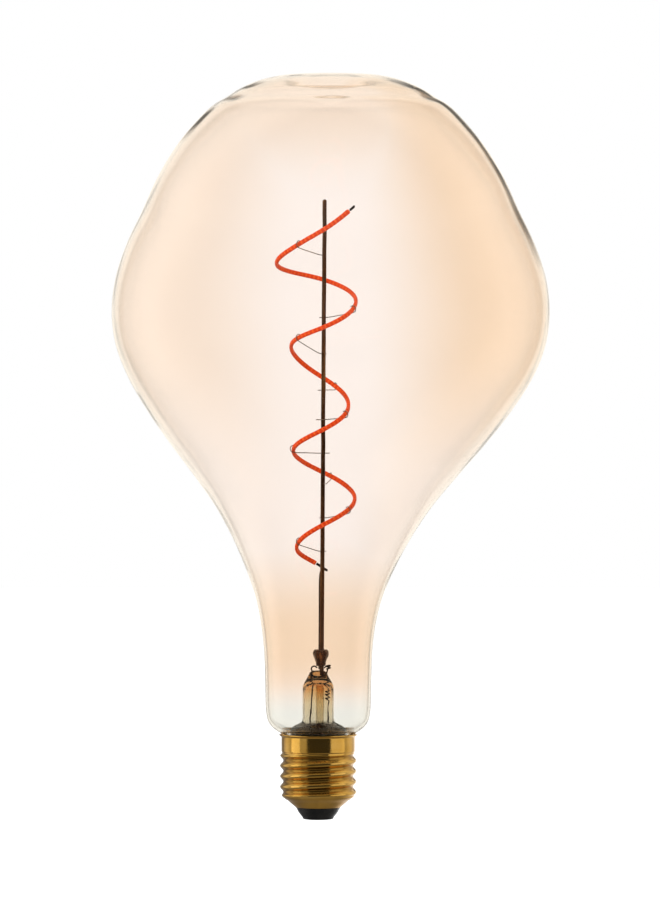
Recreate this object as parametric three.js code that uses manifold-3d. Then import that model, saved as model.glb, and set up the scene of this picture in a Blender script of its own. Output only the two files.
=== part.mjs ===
// A decorative LED filament light bulb with an E27 screw cap: a large hand-blown amber glass envelope, a
// glass stem that carries a metal post, a spiral of flexible LED filament held by nine wire hooks, and a
// driver with a radio module inside the cap. Millimetres, +Z up. The origin is the centre of the contact's
// face at the cap's end, and +Z runs along the cap's axis towards the glass. The bulb's front faces -Y.
import * as THREE from "three";
import { mergeVertices } from "three/addons/utils/BufferGeometryUtils.js";
import Module from "manifold-3d";

const wasm = await Module();
wasm.setup();

// ---------- driving dimensions ----------

const CLEARANCE = 0.1; // between pieces that only touch
const SEAT_GAP = 0.3; // round a piece that a neighbour is cut for
const TURN = 2 * Math.PI;

// The cap, to the E27 standard: a rolled thread of 7 turns per inch, over a cone that ends in the contact.
const THREAD_MAJOR_RADIUS = 13.15;
const THREAD_DEPTH = 1.1;
const THREAD_PITCH = 25.4 / 7;
const THREAD_START = 2.4; // the azimuth of the crest at height 0, in radians
const THREAD_BOTTOM = 7.9;
const THREAD_LENGTH = 15.3;
const BAND_HEIGHT = 6.2; // the plain band and the lip above the thread
const LIP_OVERHANG = 0.75;
const LIP_LENGTH = 0.8;
const SHELL_WALL = 0.35;
const CONE_FOOT_RADIUS = 7.7; // where the brass ends and the black insulator shows
const CONTACT_RADIUS = 4.3;
const CONTACT_THICKNESS = 0.8;
const CONTACT_PROUD = 0.15; // how far the contact stands below the insulator's foot
const RIVET_RADIUS = 1.1;

const THREAD_TOP = THREAD_BOTTOM + THREAD_LENGTH;
const BAND_RADIUS = THREAD_MAJOR_RADIUS - 0.5;
const RIM_RADIUS = BAND_RADIUS + LIP_OVERHANG;
const RIM_HEIGHT = THREAD_TOP + BAND_HEIGHT;
const INSULATOR_FOOT_RADIUS = CONTACT_RADIUS + 1.1;
const INSULATOR_TOP = THREAD_BOTTOM + 0.5;
const RIVET_TOP = INSULATOR_TOP - 1.5;

// The glass envelope: a neck that stands in the cap, and a body that leans a little towards +X.
const GLASS_WALL = 1.1;
const NECK_DEPTH = 4.2; // how far the neck goes into the cap
const NECK_RADIUS = 18.3;
const NECK_LENGTH = 17.6; // above the cap
const BODY_RADIUS = 75.3;
const BODY_HEIGHT = 209.2;
const BODY_LEAN = 4.3;
const CEMENT_THICKNESS = 1;

const NECK_MOUTH = RIM_HEIGHT - NECK_DEPTH;
const NECK_MOUTH_RADIUS = BAND_RADIUS - SHELL_WALL - CEMENT_THICKNESS;
const NECK_TOP = RIM_HEIGHT + NECK_LENGTH;
const BULB_TOP = NECK_TOP + BODY_HEIGHT;
// The neck's shoulder above the cap: [share of the way out to the neck's radius, rise].
const SHOULDER = [[0, 0], [0.32, 1.2], [0.61, 2.6], [0.83, 4.6], [0.95, 8.1]];
// The body: [share of the way out from the neck's radius to the body's, share of the body's height].
const BODY = [
  [0, 0], [0.007, 0.053], [0.028, 0.1], [0.065, 0.143], [0.126, 0.186], [0.221, 0.239], [0.34, 0.292],
  [0.486, 0.344], [0.642, 0.397], [0.782, 0.449], [0.9, 0.502], [0.972, 0.55], [1, 0.593], [1, 0.631],
  [0.974, 0.674], [0.907, 0.727], [0.816, 0.779], [0.728, 0.832], [0.614, 0.884], [0.498, 0.924],
  [0.398, 0.951], [0.318, 0.964], [0.237, 0.978], [0.128, 0.991],
];
// The shallow dish in the top: [radius, depth below the dish's rim].
const DISH = [[20.5, 0.5], [16.5, 0], [12, 1], [6.5, 3.1], [0, 4]];
// Soft dents of the hand-blown glass: [azimuth, share of the body's height, reach around, reach up, depth].
const DENTS = [
  [168, 0.942, 12, 7, 0.9], [12, 0.903, 14, 12, 0.8], [-80, 0.76, 34, 24, 1.6], [68, 0.798, 34, 26, 1.8],
  [125, 0.492, 32, 28, 1.5], [-122, 0.435, 30, 28, 1.4], [-50, 0.387, 24, 24, 1.0], [50, 0.339, 24, 24, 1.2],
];

// The glass stem: a flare tube whose top is pinched into a press round the wires.
const STEM_RADIUS = 5.35;
const STEM_WALL = 0.7;
const STEM_HEIGHT = 25.4;
const PRESS_WIDTH = 5.8;
const PRESS_DEPTH = 3.4;
const PRESS_HEIGHT = 6.1;
const EXHAUST_RADIUS = 1.5;
const EXHAUST_WALL = 0.45;
const EXHAUST_X = 0.6;

const FLARE_MOUTH = NECK_MOUTH + 0.8;
const FLARE_MOUTH_RADIUS = NECK_MOUTH_RADIUS - GLASS_WALL - SEAT_GAP;
const STEM_BORE_RADIUS = STEM_RADIUS - STEM_WALL;
const PRESS_TOP = FLARE_MOUTH + STEM_HEIGHT;
const PRESS_FROM = PRESS_TOP - PRESS_HEIGHT; // where the round tube starts to flatten
const CAVITY_TOP = PRESS_FROM + 1.9; // the tube is solid glass above this

// The filament: a strip that winds round the post. It starts at azimuth 0 at its free top end and winds
// clockwise, as seen from above, on its way down. Each row is a quarter turn: [share of the height, share
// of the swing].
const FILAMENT_RISE = 34.2; // of its lower end above the press
const FILAMENT_HEIGHT = 129.1;
const FILAMENT_SWING = 16.4; // its greatest distance from the post
const FILAMENT_ROWS = [
  [1, 0.823], [0.909, 0.738], [0.823, 1], [0.781, 0.805], [0.718, 0.671], [0.649, 0.713], [0.596, 0.683],
  [0.516, 0.616], [0.442, 0.53], [0.379, 0.549], [0.325, 0.622], [0.266, 0.652], [0.197, 0.671],
  [0.126, 0.665], [0.056, 0.524], [0.011, 0.195], [0, 0.183],
];
const FILAMENT_FROM = 0.53; // in quarter turns
const FILAMENT_TO = 14.68;
const FILAMENT_WIDTH = 1.6; // upright
const FILAMENT_THICKNESS = 1.3; // across
const TAB_WIDTH = 0.9;
const TAB_THICKNESS = 0.35;
const TOP_TAB_FROM = 0.4;
const BOTTOM_TAB_TO = 15.45;
const FILAMENT_BOTTOM = PRESS_TOP + FILAMENT_RISE;

// The post, which leans a little, and the return wire beside it.
const POST_RADIUS = 0.75;
const POST_FOOT_X = 1.2;
const POST_HEAD_X = 2.2;
const POST_FOOT = PRESS_TOP - 2.2;
const POST_HEAD = FILAMENT_BOTTOM + FILAMENT_HEIGHT - 1.2;
const RETURN_WIRE_RADIUS = 0.3;
const RETURN_WIRE_AZIMUTH = 2.44; // round the post, in radians
const LEAD_RADIUS = 0.25;
const LINK_RADIUS = 0.09;

// The wire hooks that hold the filament, placed along it in quarter turns.
const HOOK_PLACES = [1.43, 4.29, 5.53, 7.28, 8.34, 9.94, 11.16, 12.44, 13.6];
// How far below its eye each hook leaves the post.
const HOOK_DROPS = [2.1, 1.5, 4.2, 0.2, 0.6, 0.3, 1.4, 1.5, 2.3];
const HOOK_WIRE_RADIUS = 0.15;
const HOOK_STUB = 2.3; // the wire's tail past the post

// The driver and radio inside the cap.
const BOARD_WIDTH = 1.33 * THREAD_MAJOR_RADIUS;
const BOARD_THICKNESS = 1;
const BOARD_Y = 0.6;
const BOARD_BOTTOM = INSULATOR_TOP + 1.2;
const BOARD_TOP = THREAD_TOP - 2.4;
const BOARD_HEIGHT = BOARD_TOP - BOARD_BOTTOM;
const EXHAUST_TIP = BOARD_TOP + 0.8;
const WIRE_RADIUS = 0.3;

// ---------- materials ----------

function finish(colour, roughness, metalness, opacity = 1) {
  return new THREE.MeshStandardMaterial({
    color: colour, roughness, metalness, opacity, transparent: opacity < 1,
  });
}
const AMBER_GLASS = finish(0xf2c58f, 0.05, 0, 0.35);
const CLEAR_GLASS = finish(0xe9e4d4, 0.05, 0, 0.4);
const BROWN_GLASS = finish(0x6b3f1a, 0.1, 0, 0.8);
const POST_METAL = finish(0x3b220e, 0.35, 0.6);
const WIRE_METAL = finish(0x8c8478, 0.35, 1);
const FILAMENT_SILICONE = finish(0xe2441c, 0.45, 0);
const BRASS = finish(0xc9973f, 0.22, 1);
const BLACK_GLASS = finish(0x0c0c0c, 0.18, 0);
const CONTACT_METAL = finish(0xb9b2a2, 0.3, 1);
const CEMENT = finish(0xb8a88e, 0.9, 0);
const BOARD_RESIN = finish(0x1d4a2a, 0.5, 0);
const CHIP_PLASTIC = finish(0x17171a, 0.6, 0);
const SLEEVE = finish(0x20242c, 0.45, 0);
const FERRITE = finish(0x3a3a3c, 0.7, 0);
const COPPER = finish(0xb3592b, 0.3, 1);
const TIN = finish(0xb8bbbd, 0.35, 1);
const RESISTOR_LACQUER = finish(0x6c8f7c, 0.5, 0);
const WIRE_SLEEVING = finish(0xd8d2c4, 0.6, 0);

// ---------- shape helpers ----------

const bulb = new THREE.Group();

function piece(name, geometry, material) {
  const mesh = new THREE.Mesh(geometry, material);
  mesh.name = name;
  bulb.add(mesh);
  return mesh;
}

function place(mesh, x, y, z) {
  mesh.position.set(x, y, z);
  return mesh;
}

// Triangles between two rings of points. A ring of one point is a pole.
function joinRings(a, b, triangles) {
  const count = Math.max(a.length, b.length);
  for (let i = 0; i < count; i++) {
    const next = (i + 1) % count;
    if (b.length > 1 && a.length > 1) triangles.push(a[i], a[next], b[next], a[i], b[next], b[i]);
    else if (a.length > 1) triangles.push(a[i], a[next], b[0]);
    else if (b.length > 1) triangles.push(a[0], b[next], b[i]);
  }
}

// A closed skin through rings of points. With closed, the last ring joins the first, as round a hollow wall.
function skin(rings, closed) {
  const triangles = [];
  for (let i = 0; i + 1 < rings.length; i++) joinRings(rings[i], rings[i + 1], triangles);
  if (closed) joinRings(rings[rings.length - 1], rings[0], triangles);
  return new THREE.BufferGeometry().setFromPoints(triangles);
}

// A solid of revolution about Z from [radius, height] points, counter-clockwise round the section.
function turned(outline, segments) {
  const points = outline.map(([radius, height]) => new THREE.Vector2(radius, height));
  return new THREE.LatheGeometry(points, segments).rotateX(Math.PI / 2);
}

// A rod, wire or strip along a curve. The section is a flattened circle.
function drawn(curve, width, thickness, sides, steps) {
  const section = new THREE.Shape();
  for (let i = 0; i < sides; i++) {
    const angle = (TURN * i) / sides;
    const x = (thickness / 2) * Math.cos(angle);
    const y = (width / 2) * Math.sin(angle);
    if (i) section.lineTo(x, y);
    else section.moveTo(x, y);
  }
  return new THREE.ExtrudeGeometry(section, { steps, extrudePath: curve, bevelEnabled: false });
}

function wire(points, radius, steps, sides = 6) {
  const curve = new THREE.CatmullRomCurve3(points.map(([x, y, z]) => new THREE.Vector3(x, y, z)));
  return drawn(curve, 2 * radius, 2 * radius, sides, steps);
}

function solid(geometry) {
  const bare = geometry.clone();
  bare.deleteAttribute("normal");
  bare.deleteAttribute("uv");
  const merged = mergeVertices(bare, 1e-4);
  return new wasm.Manifold(
    new wasm.Mesh({
      numProp: 3,
      vertProperties: merged.attributes.position.array,
      triVerts: new Uint32Array(merged.index.array),
    }),
  );
}

function geometryOf(made) {
  const mesh = made.getMesh();
  return new THREE.BufferGeometry()
    .setAttribute("position", new THREE.BufferAttribute(mesh.vertProperties, 3))
    .setIndex(new THREE.BufferAttribute(mesh.triVerts, 1));
}

function uprightCylinder(radius, bottom, top, segments) {
  return turned([[0, bottom], [radius, bottom], [radius, top], [0, top]], segments);
}

function smooth(from, to, value) {
  const share = THREE.MathUtils.clamp((value - from) / (to - from), 0, 1);
  return share * share * (3 - 2 * share);
}

// ---------- glass envelope ----------

function dentDepth(azimuth, radius, height) {
  let depth = 0;
  for (const [where, level, around, up, deep] of DENTS) {
    const turn = THREE.MathUtils.euclideanModulo(azimuth - (where * Math.PI) / 180 + Math.PI, TURN) - Math.PI;
    const across = (radius * turn) / around;
    const along = (height - THREE.MathUtils.lerp(NECK_TOP, BULB_TOP, level)) / up;
    depth += deep * Math.exp(-across * across - along * along);
  }
  return depth;
}

// One ring of the envelope round a point of its outline. The dish's middle is a single point.
function envelopeRing([radius, height], segments) {
  const rise = (height - NECK_TOP) / BODY_HEIGHT;
  const centre = BODY_LEAN * smooth(0.062, 0.54, rise);
  if (radius < CLEARANCE) return [new THREE.Vector3(centre, 0, height)];
  const ring = [];
  for (let i = 0; i < segments; i++) {
    const azimuth = (TURN * i) / segments;
    const r = radius - dentDepth(azimuth, radius, height);
    ring.push(new THREE.Vector3(centre + r * Math.cos(azimuth), r * Math.sin(azimuth), height));
  }
  return ring;
}

function envelope() {
  const { lerp } = THREE.MathUtils;
  const rimRadius = RIM_RADIUS - 1;
  const outer = [
    [NECK_MOUTH_RADIUS, NECK_MOUTH],
    [NECK_MOUTH_RADIUS + CLEARANCE / 2, RIM_HEIGHT - 1.2],
    ...SHOULDER.map(([out, rise]) => [lerp(rimRadius, NECK_RADIUS, out), RIM_HEIGHT + rise]),
    ...BODY.map(([out, up]) => [lerp(NECK_RADIUS, BODY_RADIUS, out), lerp(NECK_TOP, BULB_TOP, up)]),
    ...DISH.map(([radius, depth]) => [radius, BULB_TOP - depth]),
  ];
  const inner = outer.map(([radius, height], i) => {
    const before = outer[Math.max(i - 1, 0)];
    const after = outer[Math.min(i + 1, outer.length - 1)];
    const along = new THREE.Vector2(after[0] - before[0], after[1] - before[1]).normalize();
    if (i === 0) return [radius - GLASS_WALL, height];
    if (radius === 0) return [0, height - GLASS_WALL];
    return [radius - GLASS_WALL * along.y, height + GLASS_WALL * along.x];
  });
  const segments = 28;
  const outside = outer.map((point) => envelopeRing(point, segments));
  const inside = inner.map((point) => envelopeRing(point, segments)).reverse();
  return skin([...outside, ...inside], true);
}

piece("glass_envelope", envelope(), AMBER_GLASS);

// ---------- stem ----------

// The half width across X and across Y of the stem's glass at a height. The press's top edge is rounded.
function stemSize(height) {
  const share = smooth(PRESS_FROM, PRESS_TOP, height);
  const edge = THREE.MathUtils.clamp((height - PRESS_TOP + 1) / 1.2, 0, 1);
  const rounding = Math.sqrt(1 - edge * edge);
  return [
    THREE.MathUtils.lerp(STEM_RADIUS, PRESS_WIDTH / 2, share) * rounding,
    THREE.MathUtils.lerp(STEM_RADIUS, PRESS_DEPTH / 2, Math.sqrt(share)) * rounding,
  ];
}

function ovalRing(halfX, halfY, height, segments) {
  const ring = [];
  for (let i = 0; i < segments; i++) {
    const angle = (TURN * i) / segments;
    ring.push(new THREE.Vector3(halfX * Math.cos(angle), halfY * Math.sin(angle), height));
  }
  return ring;
}

// The post's axis leans, so its place is worked out from the height.
function postX(height) {
  return THREE.MathUtils.mapLinear(height, POST_FOOT, POST_HEAD, POST_FOOT_X, POST_HEAD_X);
}
// The return wire stands close beside the post, to the left and a little behind.
const RETURN_WIRE_STANDOFF = POST_RADIUS + RETURN_WIRE_RADIUS + CLEARANCE;
const RETURN_WIRE_X = POST_FOOT_X + RETURN_WIRE_STANDOFF * Math.cos(RETURN_WIRE_AZIMUTH);
const RETURN_WIRE_Y = RETURN_WIRE_STANDOFF * Math.sin(RETURN_WIRE_AZIMUTH);
const LEFT_LEAD_X = 0.8 - PRESS_WIDTH / 2;
const RIGHT_LEAD_X = PRESS_WIDTH / 2 + 0.05;

function stem() {
  const segments = 20;
  const round = (radius, height) => ovalRing(radius, radius, height, segments);
  // The horn: [share of the way out from the tube to the flare's mouth, rise above the mouth].
  const horn = [[1, 0], [1, 3.4], [0.93, 4.6], [0.7, 5.6], [0.36, 6.4], [0.1, 7.4], [0, 9]].map(
    ([out, rise]) => [THREE.MathUtils.lerp(STEM_RADIUS, FLARE_MOUTH_RADIUS, out), FLARE_MOUTH + rise],
  );
  const outside = horn.map(([radius, height]) => round(radius, height));
  for (const share of [0, 0.28, 0.51, 0.7, 0.85, 0.95, 1]) {
    const height = THREE.MathUtils.lerp(PRESS_FROM, PRESS_TOP, share);
    outside.push(ovalRing(...stemSize(height), height, segments));
  }
  outside.push([new THREE.Vector3(0, 0, PRESS_TOP)]);
  const inside = [[new THREE.Vector3(0, 0, CAVITY_TOP)], round(0.56 * STEM_BORE_RADIUS, CAVITY_TOP - 0.3)];
  inside.push(round(0.9 * STEM_BORE_RADIUS, PRESS_FROM), round(STEM_BORE_RADIUS, PRESS_FROM - 2));
  for (const [radius, height] of horn.reverse()) inside.push(round(radius - STEM_WALL, height));
  let glass = solid(skin([...outside, ...inside], true));
  for (const x of [LEFT_LEAD_X, RIGHT_LEAD_X]) {
    const channel = solid(uprightCylinder(LEAD_RADIUS + SEAT_GAP, CAVITY_TOP - 3, PRESS_TOP + 1, 8));
    glass = glass.subtract(channel.translate([x, 0, 0]));
  }
  const socket = solid(uprightCylinder(POST_RADIUS + SEAT_GAP, POST_FOOT - SEAT_GAP, PRESS_TOP + 1, 12));
  return geometryOf(glass.subtract(socket.translate([POST_FOOT_X, 0, 0])));
}
piece("stem_flare", stem(), CLEAR_GLASS);

const exhaustTop = CAVITY_TOP - 1.2;
piece(
  "exhaust_tube",
  turned(
    [
      [0, EXHAUST_TIP], [0.47 * EXHAUST_RADIUS, EXHAUST_TIP + 0.2], [0.8 * EXHAUST_RADIUS, EXHAUST_TIP + 1.2],
      [EXHAUST_RADIUS, EXHAUST_TIP + 2.6], [EXHAUST_RADIUS, exhaustTop],
      [EXHAUST_RADIUS - EXHAUST_WALL, exhaustTop], [EXHAUST_RADIUS - EXHAUST_WALL, EXHAUST_TIP + 3],
      [0.27 * EXHAUST_RADIUS, EXHAUST_TIP + 1.6], [0, EXHAUST_TIP + 1.4],
    ],
    14,
  ).translate(EXHAUST_X, 0, 0),
  CLEAR_GLASS,
);

// A bead of brown glass ties the post and the return wire together above the press.
const beadShift = RETURN_WIRE_RADIUS + CLEARANCE / 2;
const beadBore = POST_RADIUS + beadShift + 0.2;
piece(
  "stem_bead",
  turned(
    [
      [0, 1.7], [0.3, 1.6], [0.45, 2.8], [1, 4.2], [1.45, 5.6], [1.4, 6.6], [0.8, 7.3], [0, 7.2], [0, 1.7],
    ].map(([out, rise]) => [beadBore + out, PRESS_TOP + rise]),
    20,
  ).translate(
    POST_FOOT_X + beadShift * Math.cos(RETURN_WIRE_AZIMUTH), beadShift * Math.sin(RETURN_WIRE_AZIMUTH), 0,
  ),
  BROWN_GLASS,
);

piece(
  "support_post",
  drawn(
    new THREE.LineCurve3(
      new THREE.Vector3(POST_FOOT_X, 0, POST_FOOT),
      new THREE.Vector3(POST_HEAD_X, 0, POST_HEAD),
    ),
    2 * POST_RADIUS, 2 * POST_RADIUS, 12, 1,
  ),
  POST_METAL,
);

// ---------- filament ----------

function blended(rows, place, column) {
  const i = THREE.MathUtils.clamp(Math.floor(place), 0, rows.length - 2);
  const t = place - i;
  const at = (k) => rows[THREE.MathUtils.clamp(k, 0, rows.length - 1)][column];
  const [a, b, c, d] = [at(i - 1), at(i), at(i + 1), at(i + 2)];
  return 0.5 * (2 * b + (c - a) * t + (2 * a - 5 * b + 4 * c - d) * t * t + (3 * b - a - 3 * c + d) * t ** 3);
}

// The point of the filament's centre line at a number of quarter turns, and the direction away from the post.
function filamentPoint(quarters) {
  const height = FILAMENT_BOTTOM + FILAMENT_HEIGHT * blended(FILAMENT_ROWS, quarters, 0);
  const radius = FILAMENT_SWING * blended(FILAMENT_ROWS, quarters, 1);
  const azimuth = (-quarters * TURN) / 4;
  const outward = new THREE.Vector3(Math.cos(azimuth), Math.sin(azimuth), 0);
  const at = outward.clone().multiplyScalar(radius).add(new THREE.Vector3(postX(height), 0, height));
  return { outward, at };
}

// A strip that stays upright as it follows the filament's line.
function strip(from, to, width, thickness, sides, steps) {
  const rings = [];
  for (let k = 0; k <= steps; k++) {
    const quarters = THREE.MathUtils.lerp(from, to, k / steps);
    const { at } = filamentPoint(quarters);
    const ahead = filamentPoint(quarters + 0.01).at.sub(filamentPoint(quarters - 0.01).at).normalize();
    const across = new THREE.Vector3().crossVectors(ahead, new THREE.Vector3(0, 0, 1)).normalize();
    const up = new THREE.Vector3().crossVectors(across, ahead);
    const ring = [];
    for (let i = 0; i < sides; i++) {
      const angle = (TURN * (i + 0.5)) / sides;
      ring.push(
        at.clone()
          .addScaledVector(across, (thickness / 2) * Math.cos(angle))
          .addScaledVector(up, (width / 2) * Math.sin(angle)),
      );
    }
    rings.push(ring.reverse());
  }
  const first = filamentPoint(from).at;
  const last = filamentPoint(to).at;
  return skin([[first], ...rings, [last]], false);
}

const TAB_GAP = 0.02; // in quarter turns, between the silicone and each end tab
piece(
  "filament_strip",
  strip(FILAMENT_FROM, FILAMENT_TO, FILAMENT_WIDTH, FILAMENT_THICKNESS, 6, 76),
  FILAMENT_SILICONE,
);
const topTabEnd = FILAMENT_FROM - TAB_GAP;
piece("filament_tab_top", strip(TOP_TAB_FROM, topTabEnd, TAB_WIDTH, TAB_THICKNESS, 4, 3), WIRE_METAL);
const bottomTabStart = FILAMENT_TO + TAB_GAP;
const bottomTab = strip(bottomTabStart, BOTTOM_TAB_TO, TAB_WIDTH, TAB_THICKNESS, 4, 6);
piece("filament_tab_bottom", bottomTab, WIRE_METAL);

// ---------- hooks ----------

// A hook leaves the post on its far side, runs out below the filament and turns up and back round it.
function hook(quarters, drop, side) {
  const { at, outward } = filamentPoint(quarters);
  const eye = FILAMENT_WIDTH / 2 + HOOK_WIRE_RADIUS + 2.5 * CLEARANCE;
  const up = new THREE.Vector3(0, 0, 1);
  const beside = new THREE.Vector3().crossVectors(up, outward).multiplyScalar(side);
  const points = [];
  const postHeight = at.z - eye - drop;
  const pass = POST_RADIUS + HOOK_WIRE_RADIUS + CLEARANCE;
  const post = new THREE.Vector3(postX(postHeight), 0, postHeight).addScaledVector(beside, pass);
  points.push(post.clone().addScaledVector(outward, -HOOK_STUB), post.clone().addScaledVector(outward, 0.5));
  const below = at.clone().addScaledVector(up, -eye);
  points.push(post.clone().lerp(below, 0.55).addScaledVector(up, -0.06 * drop));
  for (const angle of [90, 140, 190, 235, 275, 315]) {
    const a = (angle * Math.PI) / 180;
    const round = at.clone().addScaledVector(outward, -eye * Math.cos(a));
    points.push(round.addScaledVector(up, -eye * Math.sin(a)));
  }
  return drawn(new THREE.CatmullRomCurve3(points), 2 * HOOK_WIRE_RADIUS, 2 * HOOK_WIRE_RADIUS, 4, 18);
}

HOOK_PLACES.forEach((quarters, i) => {
  piece(`filament_hook_${i + 1}`, hook(quarters, HOOK_DROPS[i], i % 2 ? 1 : -1), WIRE_METAL);
});

// ---------- wires above the press ----------

// The return wire runs up beside the post to the filament's lower tab.
const tabEnd = filamentPoint(15).at;
const tabTouch = TAB_THICKNESS / 2 + RETURN_WIRE_RADIUS + CLEARANCE + 0.1;
const returnWireAt = (height) => [postX(height) - POST_FOOT_X + RETURN_WIRE_X, RETURN_WIRE_Y, height];
const returnWireRoute = [0, 0.33, 0.66, 1].map((share) =>
  returnWireAt(THREE.MathUtils.lerp(PRESS_TOP + SEAT_GAP, tabEnd.z - 4.5, share)),
);
piece(
  "return_wire",
  wire(
    [
      ...returnWireRoute, [tabEnd.x - 0.7, (RETURN_WIRE_Y + tabEnd.y - tabTouch) / 2, tabEnd.z - 2],
      [tabEnd.x, tabEnd.y - tabTouch, tabEnd.z + 0.5],
    ],
    RETURN_WIRE_RADIUS, 16,
  ),
  WIRE_METAL,
);

// A thin link joins the post to the top tab. It keeps behind the strip, where the front view hides it.
const LINK_FROM = TOP_TAB_FROM + 0.03; // in quarter turns
const linkPost = -(POST_RADIUS + LINK_RADIUS + CLEARANCE);
const linkTab = filamentPoint(LINK_FROM).at.y + TAB_THICKNESS / 2 + LINK_RADIUS + 3 * CLEARANCE;
piece(
  "top_link_wire",
  wire(
    [0, 0.2, 0.4, 0.6, 0.8, 1].map((share) => {
      const strand = filamentPoint(THREE.MathUtils.lerp(LINK_FROM, 1, share)).at;
      return [strand.x, THREE.MathUtils.lerp(linkTab, linkPost, Math.sqrt(share)), strand.z];
    }),
    LINK_RADIUS, 14, 5,
  ),
  WIRE_METAL,
);

// The left lead: up through the stem and the press, then bent over to the return wire.
const leadFoot = BOARD_TOP + CLEARANCE;
const leadY = BOARD_Y + 0.2;
const returnWireFoot = PRESS_TOP + 0.9;
piece(
  "lead_wire_left",
  wire(
    [
      [LEFT_LEAD_X - 1.3, leadY, leadFoot], [LEFT_LEAD_X - 1, leadY, FLARE_MOUTH],
      [LEFT_LEAD_X - 0.7, leadY / 2, FLARE_MOUTH + 8], [LEFT_LEAD_X, 0, PRESS_TOP - 7.4],
      [LEFT_LEAD_X, 0, PRESS_TOP - 4.4], [LEFT_LEAD_X, 0, PRESS_TOP - 0.4],
      [LEFT_LEAD_X - 0.25, -0.1, returnWireFoot - 0.1], [LEFT_LEAD_X + 0.7, 0.1, returnWireFoot + 0.6],
      [RETURN_WIRE_X - RETURN_WIRE_RADIUS - LEAD_RADIUS - CLEARANCE, RETURN_WIRE_Y, returnWireFoot],
    ],
    LEAD_RADIUS, 26,
  ),
  WIRE_METAL,
);

// The right lead: a pigtail inside the stem, then a knot beside the press, and an end that meets the post.
function coilPoints(x, radius, bottom, top, turns) {
  const points = [];
  const steps = turns * 6;
  for (let k = 0; k <= steps; k++) {
    const angle = (TURN * k) / 6;
    points.push([
      x + radius * Math.cos(angle), radius * Math.sin(angle), THREE.MathUtils.lerp(bottom, top, k / steps),
    ]);
  }
  return points;
}
const exhaustEdge = EXHAUST_X + EXHAUST_RADIUS;
const pigtailX = (exhaustEdge + STEM_BORE_RADIUS) / 2 - 0.15;
const pigtailRadius = (STEM_BORE_RADIUS - exhaustEdge) / 2 - LEAD_RADIUS - 0.4;
const knotRadius = 0.6;
const knotX = POST_FOOT_X + beadBore + 1.05;
const postTouch = POST_RADIUS + LEAD_RADIUS + CLEARANCE;
piece(
  "lead_wire_right",
  wire(
    [
      [pigtailX + 0.3, leadY, leadFoot], [pigtailX + 0.3, leadY, FLARE_MOUTH],
      [pigtailX + 0.3, leadY / 3, FLARE_MOUTH + 8], [pigtailX + 0.3, 0, PRESS_FROM - 6.3],
      ...coilPoints(pigtailX, pigtailRadius, PRESS_FROM - 4.7, PRESS_FROM - 0.9, 3),
      [RIGHT_LEAD_X, 0, PRESS_FROM + 0.9], [RIGHT_LEAD_X, 0, PRESS_TOP - 0.8],
      ...coilPoints(knotX, knotRadius, PRESS_TOP + 0.1, PRESS_TOP + 1.7, 2).slice(2),
      [POST_FOOT_X + 1.7, -1, PRESS_TOP + 1.6],
      [POST_FOOT_X + 0.8 * postTouch, -0.6 * postTouch, PRESS_TOP + 0.8],
    ],
    LEAD_RADIUS, 60, 5,
  ),
  WIRE_METAL,
);

// ---------- cap ----------

// The outer radius of the rolled right-hand thread at a height and an azimuth. The thread fades at its ends.
function threadRadius(height, azimuth) {
  const into = smooth(THREAD_BOTTOM, THREAD_BOTTOM + 1, height);
  const fade = into * (1 - smooth(THREAD_TOP - 1.2, THREAD_TOP, height));
  const phase = (TURN * height) / THREAD_PITCH - azimuth + THREAD_START;
  const middle = THREAD_MAJOR_RADIUS - THREAD_DEPTH / 2 - 0.2 * (1 - fade);
  return middle + (fade * THREAD_DEPTH * Math.cos(phase)) / 2;
}

// The cone under the thread, [radius, height], from the insulator up.
const CONE = [
  [CONE_FOOT_RADIUS, THREAD_BOTTOM - 3.7], [THREAD_MAJOR_RADIUS - 2.55, THREAD_BOTTOM - 1.2],
  [THREAD_MAJOR_RADIUS - 1.45, THREAD_BOTTOM - 0.5],
];

function shell() {
  const segments = 26;
  const around = (radiusAt, height) => {
    const ring = [];
    for (let i = 0; i < segments; i++) {
      const azimuth = (TURN * i) / segments;
      const radius = radiusAt(azimuth);
      ring.push(new THREE.Vector3(radius * Math.cos(azimuth), radius * Math.sin(azimuth), height));
    }
    return ring;
  };
  const outside = CONE.map(([radius, height]) => around(() => radius, height));
  const inside = CONE.map(([radius, height]) => around(() => radius - SHELL_WALL, height + SHELL_WALL / 2));
  const rows = 20;
  for (let k = 0; k <= rows; k++) {
    const height = THREE.MathUtils.lerp(THREAD_BOTTOM, THREAD_TOP, k / rows);
    outside.push(around((azimuth) => threadRadius(height, azimuth), height));
    inside.push(around((azimuth) => threadRadius(height, azimuth) - SHELL_WALL, height));
  }
  const band = [
    [BAND_RADIUS, THREAD_TOP + 0.4], [BAND_RADIUS, RIM_HEIGHT - LIP_LENGTH],
    [RIM_RADIUS, RIM_HEIGHT - 0.3], [RIM_RADIUS, RIM_HEIGHT],
  ];
  for (const [radius, height] of band) {
    outside.push(around(() => radius, height));
    inside.push(around(() => radius - SHELL_WALL, height));
  }
  return skin([...outside, ...inside.reverse()], true);
}
piece("cap_shell", shell(), BRASS);

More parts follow.
